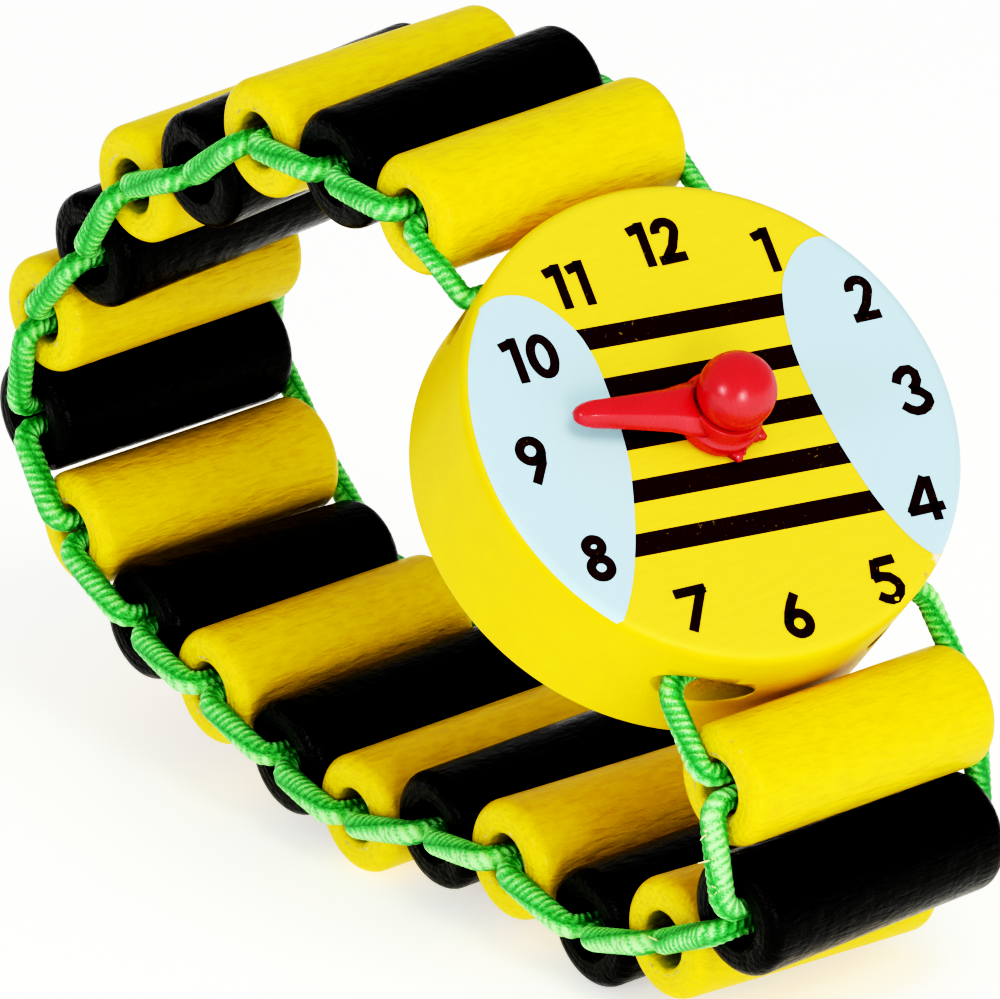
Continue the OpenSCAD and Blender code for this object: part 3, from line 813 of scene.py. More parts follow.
class WATCH_OT_elastic(bpy.types.Operator):
    """Lace the braided elastic through the beads and the head"""
    bl_idname = "toy_watch.elastic"
    bl_label = "Braided elastic"

    def execute(self, context):
        watch = context.scene.toy_watch
        cord = watch.elastic
        lacing = Lacing(watch)
        material = shared("green braided polyester", braided_polyester, cord=cord)
        clear = lacing.offset + cord.diameter * 0.6
        for i in range(1, FIRST_STILL):
            way = run_way(i)
            for side, word in ((-1, "near"), (1, "far")):
                cord_piece = braided_cord("link_%s_%02d" % (word, i), lacing.between(i, side), cord, material)
                here, there = body_of_run(i), body_of_run(i + 1)
                if i == FAR_BEAD:
                    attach(cord_piece, here)
                else:
                    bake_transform(cord_piece)
                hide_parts("elastic_%02d" % i)
        loop = braided_cord("elastic_loop", lacing.lower(), cord, material)
        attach(loop, "watch")
        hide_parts("elastic_lower")
        for side, word in ((-1, "near"), (1, "far")):
            end = braided_cord("elastic_end_%s" % word, lacing.upper(side), cord, material)
            way = run_way(BEADS)
            start = lacing.head_end(lacing.knot_place, side, 0, watch.head.knot_turn)[0]
            stop = bead_at(1) - clear * way
            start = stop + way * (start - stop).dot(way)
            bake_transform(end)
            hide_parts("elastic_upper")
        return {"FINISHED"}


class WATCH_OT_fray(bpy.types.Operator):
    """Pull a few threads out of the worn elastic beside the lowest beads"""
    bl_idname = "toy_watch.fray"
    bl_label = "Loose threads"
    # the bead before the link, how far along the link, and how many threads
    PLACES = ((18, 0.38, 2), (18, 0.5, 3), (18, 0.6, 2), (17, 0.3, 2))
    # a thread has five sides and five stretches, and its root is this thick from its middle, in millimetres
    SIDES = (0, 1.26, 2.51, 3.77, 5.03)
    STRETCHES = 5
    ROOT = 0.075

    def execute(self, context):
        watch = context.scene.toy_watch
        cord = watch.elastic
        lacing = Lacing(watch)
        own = Random(5)
        bm = bmesh.new()
        for bead, share, count in self.PLACES:
            route = lacing.bead_link(bead, -1)
            at = route[int(share * len(route))][0]
            # out of the near side, and up to the front
            away = (lacing.bead_end(bead, -1, 1, 0)[1] - TO_3 * 0.4 + FACE_OUT * 0.7).normalized()
            for _ in range(count):
                jitter = Vector([own.uniform(-1, 1) for _ in range(3)])
                # just under the cord's surface
                root = at + jitter * cord.diameter * 0.12 + away * cord.diameter * 0.45
                self.thread(bm, root, away, jitter, cord.fray * own.uniform(0.7, 1.2))
        bmesh.ops.recalc_face_normals(bm, faces=bm.faces)
        threads = piece("loose_threads", as_mesh(bm, "loose_threads"), shared("pale latex", latex, shade=cord.rubber))
        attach(threads, "watch")
        return {"FINISHED"}

    def thread(self, bm, root, away, bend, reach):
        """One tapering thread that curls as it leaves the braid."""
        across = away.cross(bend).normalized()
        up = across.cross(away)
        rings = []
        for k in range(self.STRETCHES + 1):
            share = k / self.STRETCHES
            middle = root + away * reach * share + (bend - away * bend.dot(away)) * reach * 0.35 * share ** 2
            thick = self.ROOT * MM * (1 - 0.6 * share)
            rings.append([bm.verts.new(middle + (across * math.cos(turn) + up * math.sin(turn)) * thick)
                          for turn in self.SIDES])
        bridge(bm, rings)
        bm.faces.new(rings[0])
        bm.faces.new(rings[-1])


class WATCH_OT_head(bpy.types.Operator):
    """Turn and bore the wooden head"""
    bl_idname = "toy_watch.head"
    bl_label = "Wooden head"
    # chips knocked out of the rim: the place in the head's frame and the size in millimetres, and the wood
    CHIPS = (((8.65, -12.5, -0.3), 0.9, "#E6D9B4"), ((7.4, -13.3, -0.2), 0.4, "#C8A060"))

    def execute(self, context):
        watch = context.scene.toy_watch
        sizes = watch.head
        radius = sizes.diameter / 2
        edge = sizes.rounding
        back = -sizes.thickness
        profile = ([(0, back)] + spaced((0, back), (radius - edge, back), 1.5 * MM)
                   + arc((radius - edge, back + edge), edge, -90, 0, 10)
                   + spaced((radius, back + edge), (radius, -edge), 0.8 * MM)
                   + arc((radius - edge, -edge), edge, 0, 90, 10)
                   + spaced((radius - edge, 0), (0, 0), 1.5 * MM) + [(0, 0)])
        disc = piece("wooden_head", lathe("wooden_head", profile, 192, closed=False), self.paint(sizes, watch.bead))
        middle = sizes.bore_rise - sizes.thickness / 2
        across = Matrix.Rotation(math.pi / 2, 4, "Y")
        reach = sizes.diameter
        for width, y in zip((sizes.knot_bore, sizes.loop_bore), bore_places(sizes)):
            self.drill(disc, width, reach, Matrix.Translation((0, y, middle)) @ across)
        self.drill(disc, sizes.pin_hole, reach, Matrix.Translation((0, 0, reach - sizes.pin_hole_depth)))
        mesh = disc.data
        remember(mesh, "turned", [v.co / MM for v in mesh.vertices])
        mesh.transform(HEAD_FRAME)
        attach(disc, "watch")
        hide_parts("head")
        return {"FINISHED"}

    def drill(self, disc, across, reach, place):
        """Cuts one bore with a cylinder that reaches equally far to both sides of its place."""
        profile = [(0, -reach), (across / 2, -reach), (across / 2, reach), (0, reach)]
        drill = bpy.data.objects.new("drill", lathe("drill", profile, 64, closed=False))
        drill.data.transform(place)
        bpy.context.collection.objects.link(drill)
        cut = disc.modifiers.new("Bore", "BOOLEAN")
        cut.object = drill
        cut.solver = "EXACT"
        mesh = plain(disc)
        disc.modifiers.clear()
        disc.data = mesh
        bpy.data.objects.remove(drill)

    def paint(self, sizes, bead):
        """Beech disc in yellow enamel. The face was printed a lighter yellow; the side keeps the grain and the
        bores show bare, yellowed wood. Reads "turned": the place in the head's frame in millimetres."""
        material, tree, shader = new_material("yellow enamel on the head")
        rim = sizes.diameter / MM / 2
        half = sizes.thickness / MM / 2
        place = add(tree, "ShaderNodeAttribute", attribute_name="turned").outputs["Vector"]
        split = add(tree, "ShaderNodeSeparateXYZ", {0: place})
        # grain runs across the disc, pores 0.3 by 3 mm
        drawn = add(tree, "ShaderNodeVectorMath", {0: place, 1: (0.4, 2.6, 2.6)}, operation="MULTIPLY")
        pores = add(tree, "ShaderNodeTexNoise", {"Vector": drawn, "Scale": 1.0, "Detail": 5.0, "Roughness": 0.6})
        waves = add(tree, "ShaderNodeTexNoise", {"Vector": place, "Scale": 0.45, "Detail": 2.0})
        grit = add(tree, "ShaderNodeTexNoise", {"Vector": place, "Scale": 4.5, "Detail": 3.0, "Roughness": 0.7})
        height = waves
        for layer, share in ((pores, 0.8), (grit, 0.12)):
            height = add(tree, "ShaderNodeMath", {0: layer, 1: share, 2: height}, operation="MULTIPLY_ADD")
        bump = add(tree, "ShaderNodeBump", {"Height": height, "Strength": 0.4, "Distance": 0.12 * MM})
        side = add(tree, "ShaderNodeValToRGB", {"Fac": waves},
                   stops=[(0.3, tinted(sizes.paint, 0.96, 0.92, 0.8)), (0.7, sizes.paint)])
        face = add(tree, "ShaderNodeValToRGB", {"Fac": pores},
                   stops=[(0.3, tinted(sizes.face_paint, 0.95)), (0.7, sizes.face_paint)])
        # the print ends where the edge starts to round
        above = add(tree, "ShaderNodeMapRange", {"Value": split.outputs["Z"], "From Min": -0.35, "From Max": -0.1})
        film = add(tree, "ShaderNodeMix", {0: above, 6: side, 7: face}, data_type="RGBA")
        # bare wood in the bores: well inside the rim, below the face and above the back
        flat = add(tree, "ShaderNodeVectorMath", {0: place, 1: (1, 1, 0)}, operation="MULTIPLY")
        reach = add(tree, "ShaderNodeVectorMath", {0: flat}, operation="LENGTH").outputs["Value"]
        ragged = add(tree, "ShaderNodeMath", {0: grit, 1: 1.2, 2: reach}, operation="MULTIPLY_ADD")
        inward = add(tree, "ShaderNodeMapRange", {"Value": ragged, "From Min": rim + 0.1, "From Max": rim - 0.9})
        top = add(tree, "ShaderNodeMath", {0: split.outputs["Z"], 1: -0.05}, operation="LESS_THAN")
        under = add(tree, "ShaderNodeMath", {0: split.outputs["Z"], 1: 0.05 - sizes.thickness / MM},
                    operation="GREATER_THAN")
        inner = add(tree, "ShaderNodeMath", {0: top, 1: under}, operation="MULTIPLY")
        inner = add(tree, "ShaderNodeMath", {0: inner, 1: inward}, operation="MULTIPLY")
        # the rounded edges reach inward too, so only the stretch between them counts
        deep = add(tree, "ShaderNodeMath", {0: split.outputs["Z"], 1: half}, operation="ADD")
        deep = add(tree, "ShaderNodeMath", {0: deep}, operation="ABSOLUTE")
        deep = add(tree, "ShaderNodeMath", {0: deep, 1: half - 1.2}, operation="LESS_THAN")
        inner = add(tree, "ShaderNodeMath", {0: inner, 1: deep}, operation="MULTIPLY")
        yellowed = tinted(bead.bare, 1.1, 0.85, 0.4)
        fibre = add(tree, "ShaderNodeValToRGB", {"Fac": grit},
                    stops=[(0.35, tinted(yellowed, 0.6)), (0.65, yellowed)])
        surface = add(tree, "ShaderNodeMix", {0: inner, 6: film.outputs[2], 7: fibre}, data_type="RGBA")
        for spot, across, shade in self.CHIPS:
            away = add(tree, "ShaderNodeVectorMath", {0: place, 1: spot}, operation="DISTANCE").outputs["Value"]
            away = add(tree, "ShaderNodeMath", {0: grit, 1: across, 2: away}, operation="MULTIPLY_ADD")
            knocked = add(tree, "ShaderNodeMapRange", {"Value": away, "From Min": across, "From Max": across * 0.85})
            surface = add(tree, "ShaderNodeMix", {0: knocked, 6: surface.outputs[2], 7: linear(shade)},
                          data_type="RGBA")
        dull = add(tree, "ShaderNodeMath", {0: inner, 1: 0.35, 2: 0.42}, operation="MULTIPLY_ADD")
        feed(tree, shader, {"Base Color": surface.outputs[2], "Normal": bump, "Roughness": dull,
                            "Specular IOR Level": 0.22, "Coat Weight": 0.08, "Coat Roughness": 0.2})
        return material


# Centre lines of the figures in millimetres for this height, from the middle of each
FIGURE_HEIGHT = 3
FIGURES = {
    "0": [arc((0, 0), 0.68, 90, 450, 28, 1.16)],
    "1": [[(-0.56, 0.94), (0.36, 1.18)], [(0.3, 1.46), (0.31, -1.46)]],
    "2": [arc((0.04, 0.66), 0.6, 190, -28, 14, 0.57) + [(0.2, -0.4), (-0.5, -1.22)],
          [(-0.88, -1.2), (0.9, -1.14)]],
    "3": [[(-0.92, 0.56), (-0.66, 1.04), (-0.2, 1.32), (0.2, 1.3), (0.46, 1.02), (0.45, 0.58), (0.24, 0.22),
           (-0.12, 0)],
          [(-0.12, 0.04), (0.42, -0.2), (0.76, -0.56), (0.76, -0.9), (0.5, -1.2), (0.1, -1.38), (-0.26, -1.38),
           (-0.62, -1.2), (-0.98, -0.86)]],
    "4": [[(0.5, 1.42), (-1.06, -0.76)], [(-1.18, -0.64), (1.2, -0.56)], [(0.66, 1.4), (0.52, -1.42)]],
    "5": [[(-0.42, 1.2), (0.86, 1.28)], [(-0.42, 1.4), (-0.7, 0.2)],
          [(-0.86, 0.24), (-0.3, 0.32), (0.2, 0.18), (0.56, -0.18), (0.66, -0.5), (0.52, -0.88), (0.2, -1.16),
           (-0.16, -1.22), (-0.5, -1.1), (-0.84, -0.84)]],
    "6": [arc((0.02, -0.47), 0.66, 90, 450, 24), [(0.34, 1.4), (-0.1, 0.8), (-0.44, 0.2), (-0.63, -0.4)]],
    "7": [[(-1.02, 1.02), (1.04, 1.1)], [(0.86, 1.24), (0.1, -0.1), (-0.62, -1.4)]],
    "8": [arc((0, 0.76), 0.5, 90, 450, 22, 0.45), arc((0, -0.6), 0.62, 90, 450, 24, 0.58)],
    "9": [arc((0, 0.55), 0.66, 90, 450, 24), [(0.66, 0.5), (0.46, -0.3), (0.08, -0.9), (-0.3, -1.52)]],
}
# Widths of the figures of the two-figure numbers, for the same height
FIGURE_WIDTHS = {"0": 2.3, "1": 1.5, "2": 2.06}
# Middles of the numbers on the print in millimetres, towards 3 o'clock and towards 12 o'clock
NUMBERS = {
    "12": (0.43, 11.58), "1": (7.08, 9.89), "2": (11.93, 5.8), "3": (13.0, -0.47), "4": (11.0, -7.38),
    "5": (6.85, -11.9), "6": (0.4, -13.0), "7": (-5.6, -11.3), "8": (-10.4, -7.2), "9": (-12.1, -0.45),
    "10": (-9.95, 5.78), "11": (-5.98, 9.88),
}
# Inner edges of the two side fields on the print in millimetres, from the upper rim to the lower rim
LEFT_FIELD = [(-11.9, 9.5), (-11.1, 9.85), (-10.3, 9.95), (-9.5, 9.85), (-8.8, 9.6), (-8.0, 9.0), (-7.1, 7.9),
              (-6.4, 6.6), (-6.05, 5.0), (-5.97, 3.5), (-6.0, 1.5), (-6.08, 0), (-6.3, -1.7), (-6.6, -3.0),
              (-7.0, -4.4), (-7.55, -6.1), (-8.1, -7.5), (-8.8, -9.0), (-9.5, -10.2), (-10.2, -11.2)]
RIGHT_FIELD = [(12.1, 9.5), (11.3, 10.05), (10.4, 10.17), (9.7, 9.98), (9.0, 9.6), (8.2, 8.85), (7.45, 7.8),
               (6.93, 6.4), (6.6, 4.8), (6.47, 3.2), (6.52, 1.5), (6.65, 0), (6.85, -1.5), (7.15, -3.2),
               (7.55, -4.9), (7.95, -6.4), (8.45, -7.8), (9.1, -9.2), (9.75, -10.2), (10.4, -10.8), (11.2, -10.7)]
# How far each field stops short of the widest part of the rim, in millimetres, from top to bottom
LEFT_MARGINS = (0.34, 0.34, 0.36, 0.36, 0.3, 0.24, 0.16, 0.1)
RIGHT_MARGINS = (0.02, 0.02)


class WATCH_OT_dial(bpy.types.Operator):
    """Print the stripes, the side fields and the numbers on the face"""
    bl_idname = "toy_watch.dial"
    bl_label = "Printed dial"
    # points along a side field's inner edge, and rings from its middle to its outline
    EDGE_STEPS = 90
    RINGS = 26

    def execute(self, context):
        watch = context.scene.toy_watch
        dial = watch.dial
        ink = shared("dark pad-printed ink", printing_ink, shade=dial.ink,
                     fleck=tinted(watch.head.face_paint, 0.3), gap=0.81)
        field = shared("pale-blue pad-printed ink", printing_ink, shade=dial.field, fleck=dial.specks, gap=0.9)
        stripes = self.stripes(dial, ink)
        self.finish(stripes, dial.film, watch.head)
        for name, edge, margins in (("side_field_left", LEFT_FIELD, LEFT_MARGINS),
                                    ("side_field_right", RIGHT_FIELD, RIGHT_MARGINS)):
            print_piece = piece(name, self.side_field(name, edge, margins, watch), field)
            self.finish(print_piece, 2 * dial.film, watch.head)
        numbers = piece("numbers", self.numbers(dial), ink)
        self.finish(numbers, 3 * dial.film, watch.head)
        return {"FINISHED"}

    def finish(self, print_piece, lift, head):
        """Lays a flat print on the face, over its rounded edge, and fixes it there."""
        edge = head.rounding
        flat = head.diameter / 2 - edge
        for vertex in print_piece.data.vertices:
            past = clamp(math.hypot(vertex.co.x, vertex.co.y) - flat, 0.0, edge * 0.98)
            vertex.co.z = lift - (edge - math.sqrt(edge ** 2 - past ** 2))
        print_piece.data.transform(HEAD_FRAME)
        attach(print_piece, "watch")

    def stripes(self, dial, ink):
        """Geometry Nodes tree: one bar, repeated on a line across the print."""
        tree, ask = node_tree("Printed stripes", ("Pitch", "Width", "Length", "Turn", "Rise"), "Count", "Stripes")
        last = add(tree, "ShaderNodeMath", {0: ask["Count"], 1: -1.0}, operation="ADD")
        start = add(tree, "ShaderNodeMath", {0: last, 1: ask["Pitch"]}, operation="MULTIPLY")
        start = add(tree, "ShaderNodeMath", {0: start, 1: -0.5}, operation="MULTIPLY")
        step = add(tree, "ShaderNodeCombineXYZ", {"Y": ask["Pitch"]})
        first = add(tree, "ShaderNodeCombineXYZ", {"Y": start})
        line = add(tree, "GeometryNodeMeshLine", {"Count": ask["Count"], "Start Location": first, "Offset": step})
        bar = add(tree, "GeometryNodeMeshGrid", {"Size X": ask["Length"], "Size Y": ask["Width"],
                                                 "Vertices X": 40, "Vertices Y": 4})
        rows = add(tree, "GeometryNodeInstanceOnPoints", {"Points": line, "Instance": bar})
        spin = add(tree, "ShaderNodeCombineXYZ", {"Z": ask["Turn"]})
        rise = add(tree, "ShaderNodeCombineXYZ", {"Y": ask["Rise"]})
        turned = add(tree, "GeometryNodeTransform", {"Geometry": rows, "Rotation": spin, "Translation": rise})
        real = add(tree, "GeometryNodeRealizeInstances", {"Geometry": turned})
        done = add(tree, "GeometryNodeSetMaterial", {"Geometry": real, "Material": ink})
        add(tree, "NodeGroupOutput", {"Stripes": done})
        mesh = grown("stripes", bpy.data.meshes.new("stripes"), tree, {
            "Pitch": dial.stripe_pitch, "Width": dial.stripe_width, "Length": dial.stripe_length,
            "Turn": -dial.turn, "Rise": -dial.stripe_drop, "Count": dial.stripe_count})
        return piece("stripes", mesh, ink)

    def side_field(self, name, edge, margins, watch):
        """A field between its curved inner edge and the rim, as a fan of rings round its middle. The rings lie
        close at the outline, where the print runs over the head's rounded edge."""
        steps = self.EDGE_STEPS
        spin = Matrix.Rotation(-watch.dial.turn, 2)
        inner = [spin @ self.along(edge, k / steps) for k in range(steps + 1)]
        start, end = (math.atan2(p.y, p.x) for p in (inner[-1], inner[0]))
        if abs(end - start) > math.pi:
            end += math.copysign(2 * math.pi, start - end)
        outer = []
        for k in range(1, steps):
            place = (1 - k / steps) * (len(margins) - 1)
            low = min(int(place), len(margins) - 2)
            margin = margins[low] + (margins[low + 1] - margins[low]) * (place - low)
            turn = start + (end - start) * k / steps
            outer.append((watch.head.diameter / 2 - margin * MM) * Vector((math.cos(turn), math.sin(turn))))
        outline = inner + outer
        middle = sum(outline, Vector((0, 0))) / len(outline)
        bm = bmesh.new()
        rings = [[bm.verts.new((*middle, 0))]]
        for ring in range(1, self.RINGS + 1):
            share = 1 - (1 - ring / self.RINGS) ** 2
            rings.append([bm.verts.new((*middle.lerp(p, share), 0)) for p in outline])
        bridge(bm, rings)
        bm.normal_update()
        if sum(f.normal.z for f in bm.faces) < 0:
            bmesh.ops.reverse_faces(bm, faces=bm.faces)
        return as_mesh(bm, name)

    def along(self, points, share):
        """Smooth curve through the points of an edge."""
        place = share * (len(points) - 1)
        k = min(int(place), len(points) - 2)
        t = place - k
        four = [Vector(points[clamp(k + d, 0, len(points) - 1)]) * MM for d in (-1, 0, 1, 2)]
        return 0.5 * ((2 * four[1]) + (four[2] - four[0]) * t
                      + (2 * four[0] - 5 * four[1] + 4 * four[2] - four[3]) * t * t
                      + (3 * four[1] - four[0] - 3 * four[2] + four[3]) * t * t * t)

    def numbers(self, dial):
        """Every number as flat strokes, drawn round its middle and turned with the print."""
        bm = bmesh.new()
        spin = Matrix.Rotation(-dial.turn, 2)
        size = dial.numeral / FIGURE_HEIGHT
        for number, middle in NUMBERS.items():
            widths = [FIGURE_WIDTHS.get(figure, 2) for figure in number]
            at = -sum(widths) / 2
            for figure, width in zip(number, widths):
                for line in FIGURES[figure]:
                    points = [spin @ (Vector((x + at + width / 2, y)) * size + Vector(middle) * MM) for x, y in line]
                    self.stroke(bm, points, dial.pen / 2)
                at += width
        return as_mesh(bm, "numbers")

    def stroke(self, bm, points, half):
        """A flat ribbon along points. Its edges waver by a few hundredths of its width, as pad-printed ink does."""
        closed = (points[0] - points[-1]).length < half / 10
        rows = []
        for k, point in enumerate(points):
            before = points[k - 1 if k else (-2 if closed else 0)]
            after = points[k + 1 if k + 1 < len(points) else (1 if closed else k)]
            ways = [way.normalized() for way in (point - before, after - point) if way.length]
            side = sum((Vector((-way.y, way.x)) for way in ways), Vector((0, 0))) / len(ways)
            # a bend keeps the stroke's width
            side = side / max(0.6, side.length_squared)
            wide = [half * (1 + 0.07 * noise.noise(Vector((*point, 0)) / (0.3 * MM) + Vector((7 * d, 0, 0))))
                    for d in (1, 2)]
            rows.append([bm.verts.new((*(point + side * wide[0]), 0)),
                         bm.verts.new((*(point - side * wide[1]), 0))])
        for a, b in zip(rows, rows[1:]):
            bm.faces.new((a[0], a[1], b[1], b[0]))


class WATCH_OT_pin(bpy.types.Operator):
    """Mould the ball-headed pin"""
    bl_idname = "toy_watch.pin"
    bl_label = "Ball-headed pin"

    def execute(self, context):
        sizes = context.scene.toy_watch.hand
        plastic = shared("red moulded polyethylene", moulded_plastic, shade=sizes.red)
        shank = sizes.shank / 2
        ball = sizes.ball / 2
        neck = math.degrees(math.asin(shank / ball))
        point = sizes.shank / 4
        profile = ([(0, -sizes.shank_depth), (shank / 2, -sizes.shank_depth), (shank, point - sizes.shank_depth)]
                   + spaced((shank, point - sizes.shank_depth), (shank, sizes.ball_rise - ball), 0.5 * MM)
                   + arc((0, sizes.ball_rise), ball, neck - 90, 90, 48))
        profile[-1] = (0, sizes.ball_rise + ball)
        mesh = lathe("ball_headed_pin", profile, 96, closed=False)
        for vertex in mesh.vertices:
            # sinks of a few hundredths of a millimetre
            if vertex.co.z > sizes.ball_rise - ball:
                vertex.co *= 1 - 0.008 * (0.5 + noise.noise(vertex.co / (1.6 * MM)))
        mesh.transform(HEAD_FRAME)
        pin = piece("ball_headed_pin", mesh, plastic)
        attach(pin, "watch")
        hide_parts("pin")
        return {"FINISHED"}


class WATCH_OT_hand(bpy.types.Operator):
    """Mould the hand with its hub"""
    bl_idname = "toy_watch.hand"
    bl_label = "Hand"
    # half of the blade's outline across, as shares of its half width and of its thickness
    SIDE = ((0.92, 0), (1, 0.08), (1, 0.26), (0.93, 0.4), (0.62, 0.93), (0.52, 1))
    # each nub of flash: degrees from the blade, half its width, and how far it stands out, in millimetres
    FLASH = ((103, 0.6, 0.62), (112, 0.35, 0.35), (149, 0.5, 0.62), (141, 0.3, 0.3))

    def execute(self, context):
        sizes = context.scene.toy_watch.hand
        plastic = shared("red moulded polyethylene", moulded_plastic, shade=sizes.red)
        top = sizes.rise + sizes.thickness
        floor = 0.1 * MM        # the hub runs just clear of the face
        foot = sizes.hub / 2
        collar = sizes.collar / 2
        bore = sizes.shank / 2 + sizes.running_gap
        bowl = sizes.ball / 2 + sizes.running_gap
        meets = sizes.ball_rise - math.sqrt(bowl ** 2 - bore ** 2)
        lip = math.sqrt(bowl ** 2 - (sizes.ball_rise - top) ** 2)
        start = math.degrees(math.atan2(meets - sizes.ball_rise, bore))
        end = math.degrees(math.atan2(top - sizes.ball_rise, lip))
        soft = 0.25 * MM        # rounding of the foot
        brim = 0.1 * MM         # rounding of the collar
        profile = ([(bore, floor), (foot - soft, floor)] + arc((foot - soft, floor + soft), soft, -90, 0, 4)
                   + arc((foot - soft, sizes.rise - soft), soft, 0, 60, 4)
                   + [(collar, sizes.rise + 0.3 * MM)] + arc((collar - brim, top - brim), brim, 10, 90, 4)
                   + arc((0, sizes.ball_rise), bowl, end, start, 8))
        ring = lathe("hub", profile, 72, closed=True)
        bm = bmesh.new()
        bm.from_mesh(ring)
        self.blade(bm, sizes)
        self.flash(bm, sizes)
        mesh = as_mesh(bm, "moulded_hand")
        mesh.transform(HEAD_FRAME @ Matrix.Rotation(sizes.turn, 4, "Z"))
        hand = piece("moulded_hand", mesh, plastic)
        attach(hand, "hand")
        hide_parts("hand")
        return {"FINISHED"}

    def blade(self, bm, sizes):
        """Tapering blade that flares at the hub, with sloping sides and a blunt bevelled tip."""
        reach, root, tip = sizes.reach, sizes.root, sizes.tip
        # each cut across the blade: how far out it is, its width, and its share of the full thickness
        cuts = ((sizes.hub / 4, root, 1), (sizes.hub / 2, root * 0.86, 1), (reach * 0.37, root * 0.73, 1),
                (reach * 0.6, root * 0.6, 0.97), (reach - tip, tip, 0.93), (reach - tip * 0.62, tip * 0.95, 0.88),
                (reach - tip * 0.33, tip * 0.8, 0.76), (reach - tip * 0.12, tip * 0.58, 0.6),
                (reach, tip * 0.3, 0.42))
        mirrored = [(-y, z) for y, z in self.SIDE]
        outline = mirrored[:1] + list(self.SIDE) + mirrored[:0:-1]
        rings = []
        for x, width, share in cuts:
            high = sizes.thickness * share
            rings.append([bm.verts.new((x, width / 2 * y, sizes.rise + high * z)) for y, z in outline])
        bridge(bm, rings)
        bm.faces.new(rings[-1])
        bm.faces.new(list(reversed(rings[0])))
        bmesh.ops.recalc_face_normals(bm, faces=bm.faces)

    def flash(self, bm, sizes):
        """Torn nubs of flash on the hub's foot, where the plastic squeezed out of the mould."""
        for turn, width, out in self.FLASH:
            way = Vector((math.cos(math.radians(turn)), math.sin(math.radians(turn)), 0))
            across = Vector((-way.y, way.x, 0))
            root = way * (sizes.hub / 2 - 0.15 * MM)
            base = [root + across * width * MM * a + Vector((0, 0, (0.25 + 0.65 * b) * MM))
                    for a, b in ((-1, 0), (1, 0), (0.8, 1), (-0.7, 0.9))]
            point = root + way * out * MM + Vector((0, 0, 0.45 * MM))
            tip = [p.lerp(point, 0.75) + way * out * 0.35 * MM for p in base]
            low, high = ([bm.verts.new(p) for p in ring] for ring in (base, tip))
            bridge(bm, (low, high))
            bm.faces.new(high)
            bm.faces.new(low[::-1])
        bmesh.ops.recalc_face_normals(bm, faces=bm.faces)


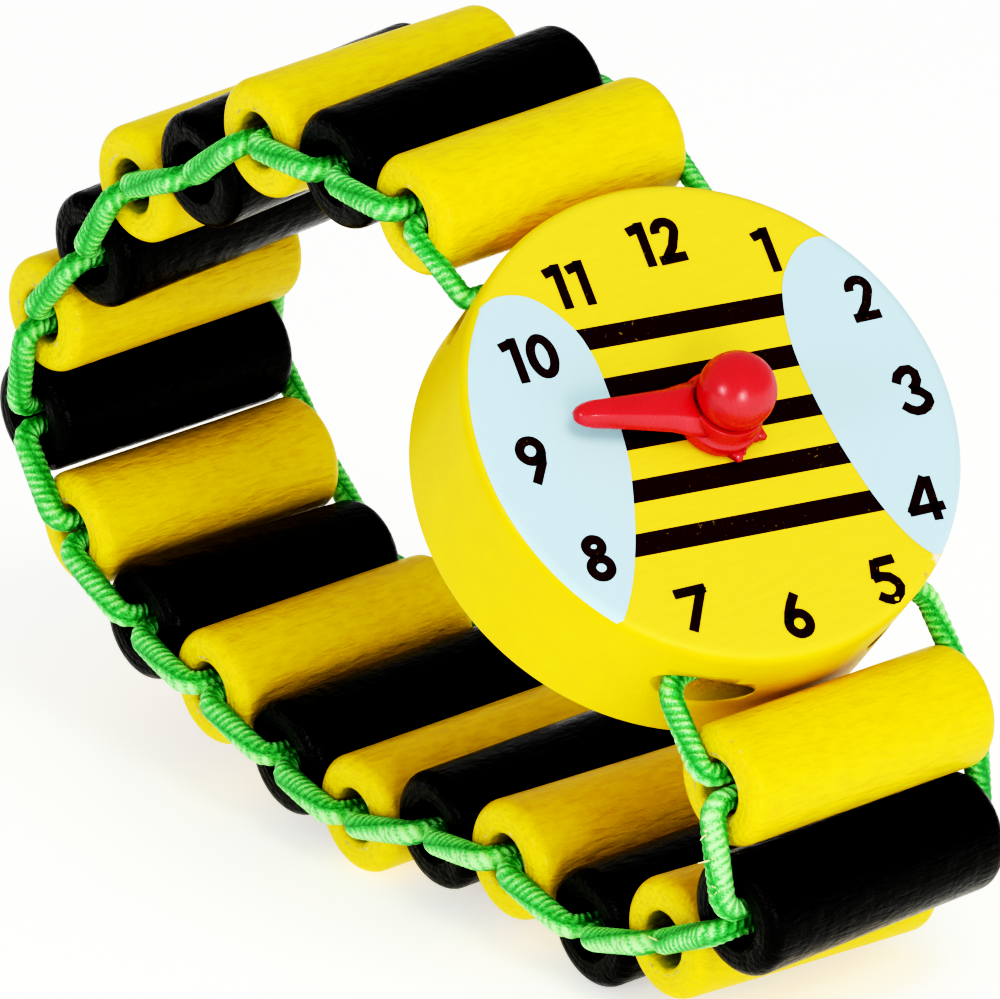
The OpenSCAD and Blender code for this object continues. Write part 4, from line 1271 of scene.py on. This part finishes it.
class WATCH_OT_studio(bpy.types.Operator):
    """Lay the floor, set the lights and place the camera"""
    bl_idname = "toy_watch.studio"
    bl_label = "Studio"
    # points of the tone curve: the light that arrives and the tone that it prints as; and what prints as white
    TONES = ((0.04, 0.004), (0.08, 0.025), (0.13, 0.085), (0.18, 0.165), (0.24, 0.29), (0.34, 0.5), (0.48, 0.69),
             (0.66, 0.83), (0.8, 0.93))
    WHITE = 1.25
    # each softbox: its name, place and width in metres, the setting of its power, and whether gloss mirrors it;
    # the overhead one would leave a third highlight on the ball, which the photograph doesn't show
    SOFTBOXES = (("overhead softbox", (0.43, -0.03, 0.53), 0.3, "key", False),
                 ("side softbox", (0.112, -0.558, 0.219), 0.15, "side", True),
                 ("low front softbox", (0.563, -0.21, 0.097), 0.17, "front", True))
    AIM = (0.005, 0, 0.025)
    PAPER = 3.0             # half the paper's width in metres
    # the lens and its sensor in millimetres, and the camera's place and axes in the model's frame
    LENS, SENSOR = 377.6, 36
    CAMERA_AT = (0.471066, -0.346058, 0.263250)
    CAMERA_RIGHT = (0.60869, 0.79196, -0.04799)
    CAMERA_UP = (-0.27524, 0.26751, 0.92341)

    def execute(self, context):
        studio = context.scene.toy_watch.studio
        floor = bpy.data.meshes.new("paper_floor")
        floor.from_pydata([(x * self.PAPER, y * self.PAPER, 0) for x, y in ((-1, -1), (1, -1), (1, 1), (-1, 1))],
                          [], [(0, 1, 2, 3)])
        paper = shared("matt paper", matt_floor, shade=studio.floor, glow=studio.table)
        floor_piece = piece("paper_floor", floor, paper, smooth=False)
        self.camera(context)
        world = context.scene.world or bpy.data.worlds.new("even light")
        context.scene.world = world
        world.use_nodes = True
        feed(world.node_tree, world.node_tree.nodes["Background"], {"Color": (1, 1, 1, 1), "Strength": studio.sky})
        self.develop(context.scene.view_settings)
        for name, place, width, setting, mirrored in self.SOFTBOXES:
            self.softbox(context, name, Vector(place), width, getattr(studio, setting), mirrored)
        return {"FINISHED"}

    def develop(self, view):
        """A catalogue picture's tones: deep shade, a steep middle and soft lights, for each colour alike."""
        view.view_transform = "Standard"
        view.use_curve_mapping = True
        mapping = view.curve_mapping
        mapping.white_level = (self.WHITE,) * 3
        curve = mapping.curves[3]       # the one that red, green and blue share
        for place in self.TONES:
            curve.points.new(*place)
        mapping.update()

    def camera(self, context):
        """A long lens at the photograph's view."""
        data = bpy.data.cameras.new("product camera")
        data.lens = self.LENS
        data.sensor_width = self.SENSOR
        data.clip_start = 0.05
        data.clip_end = 20
        camera = bpy.data.objects.new("product camera", data)
        right, up = Vector(self.CAMERA_RIGHT), Vector(self.CAMERA_UP)
        place = Matrix((right, up, right.cross(up))).transposed().to_4x4()
        place.translation = Vector(self.CAMERA_AT)
        camera.matrix_world = place
        context.collection.objects.link(camera)
        context.scene.camera = camera

    def softbox(self, context, name, place, width, power, mirrored):
        """A square soft light that points at the watch."""
        light = bpy.data.lights.new(name, "AREA")
        light.size = width
        light.energy = power
        lamp = bpy.data.objects.new(name, light)
        lamp.location = place
        lamp.rotation_euler = (Vector(self.AIM) - place).to_track_quat("-Z", "Y").to_euler()
        lamp.visible_glossy = mirrored
        context.collection.objects.link(lamp)


class WATCH_PT_panel(bpy.types.Panel):
    """Buttons that build the watch, in order"""
    bl_idname = "WATCH_PT_panel"
    bl_label = "Toy watch"
    bl_space_type = "VIEW_3D"
    bl_region_type = "UI"
    bl_category = "Toy watch"

    def draw(self, context):
        for step in STEPS:
            self.layout.operator(step.bl_idname)


STEPS = (WATCH_OT_studio, WATCH_OT_head, WATCH_OT_dial, WATCH_OT_pin, WATCH_OT_hand, WATCH_OT_beads,
         WATCH_OT_elastic, WATCH_OT_fray)
CLASSES = (WatchBeadSizes, WatchElasticSizes, WatchHeadSizes, WatchDialSizes, WatchHandSizes, WatchStudio,
           WatchSettings) + STEPS + (WATCH_PT_panel,)


def register():
    for cls in CLASSES:
        bpy.utils.register_class(cls)
    bpy.types.Scene.toy_watch = bpy.props.PointerProperty(type=WatchSettings)


def unregister():
    del bpy.types.Scene.toy_watch
    for cls in reversed(CLASSES):
        bpy.utils.unregister_class(cls)


def main():
    register()
    bpy.ops.toy_watch.studio()
    bpy.ops.toy_watch.head()
    bpy.ops.toy_watch.dial()
    bpy.ops.toy_watch.pin()
    bpy.ops.toy_watch.hand()
    bpy.ops.toy_watch.beads()
    bpy.ops.toy_watch.elastic()
    bpy.ops.toy_watch.fray()


if __name__ == "__main__":
    main()
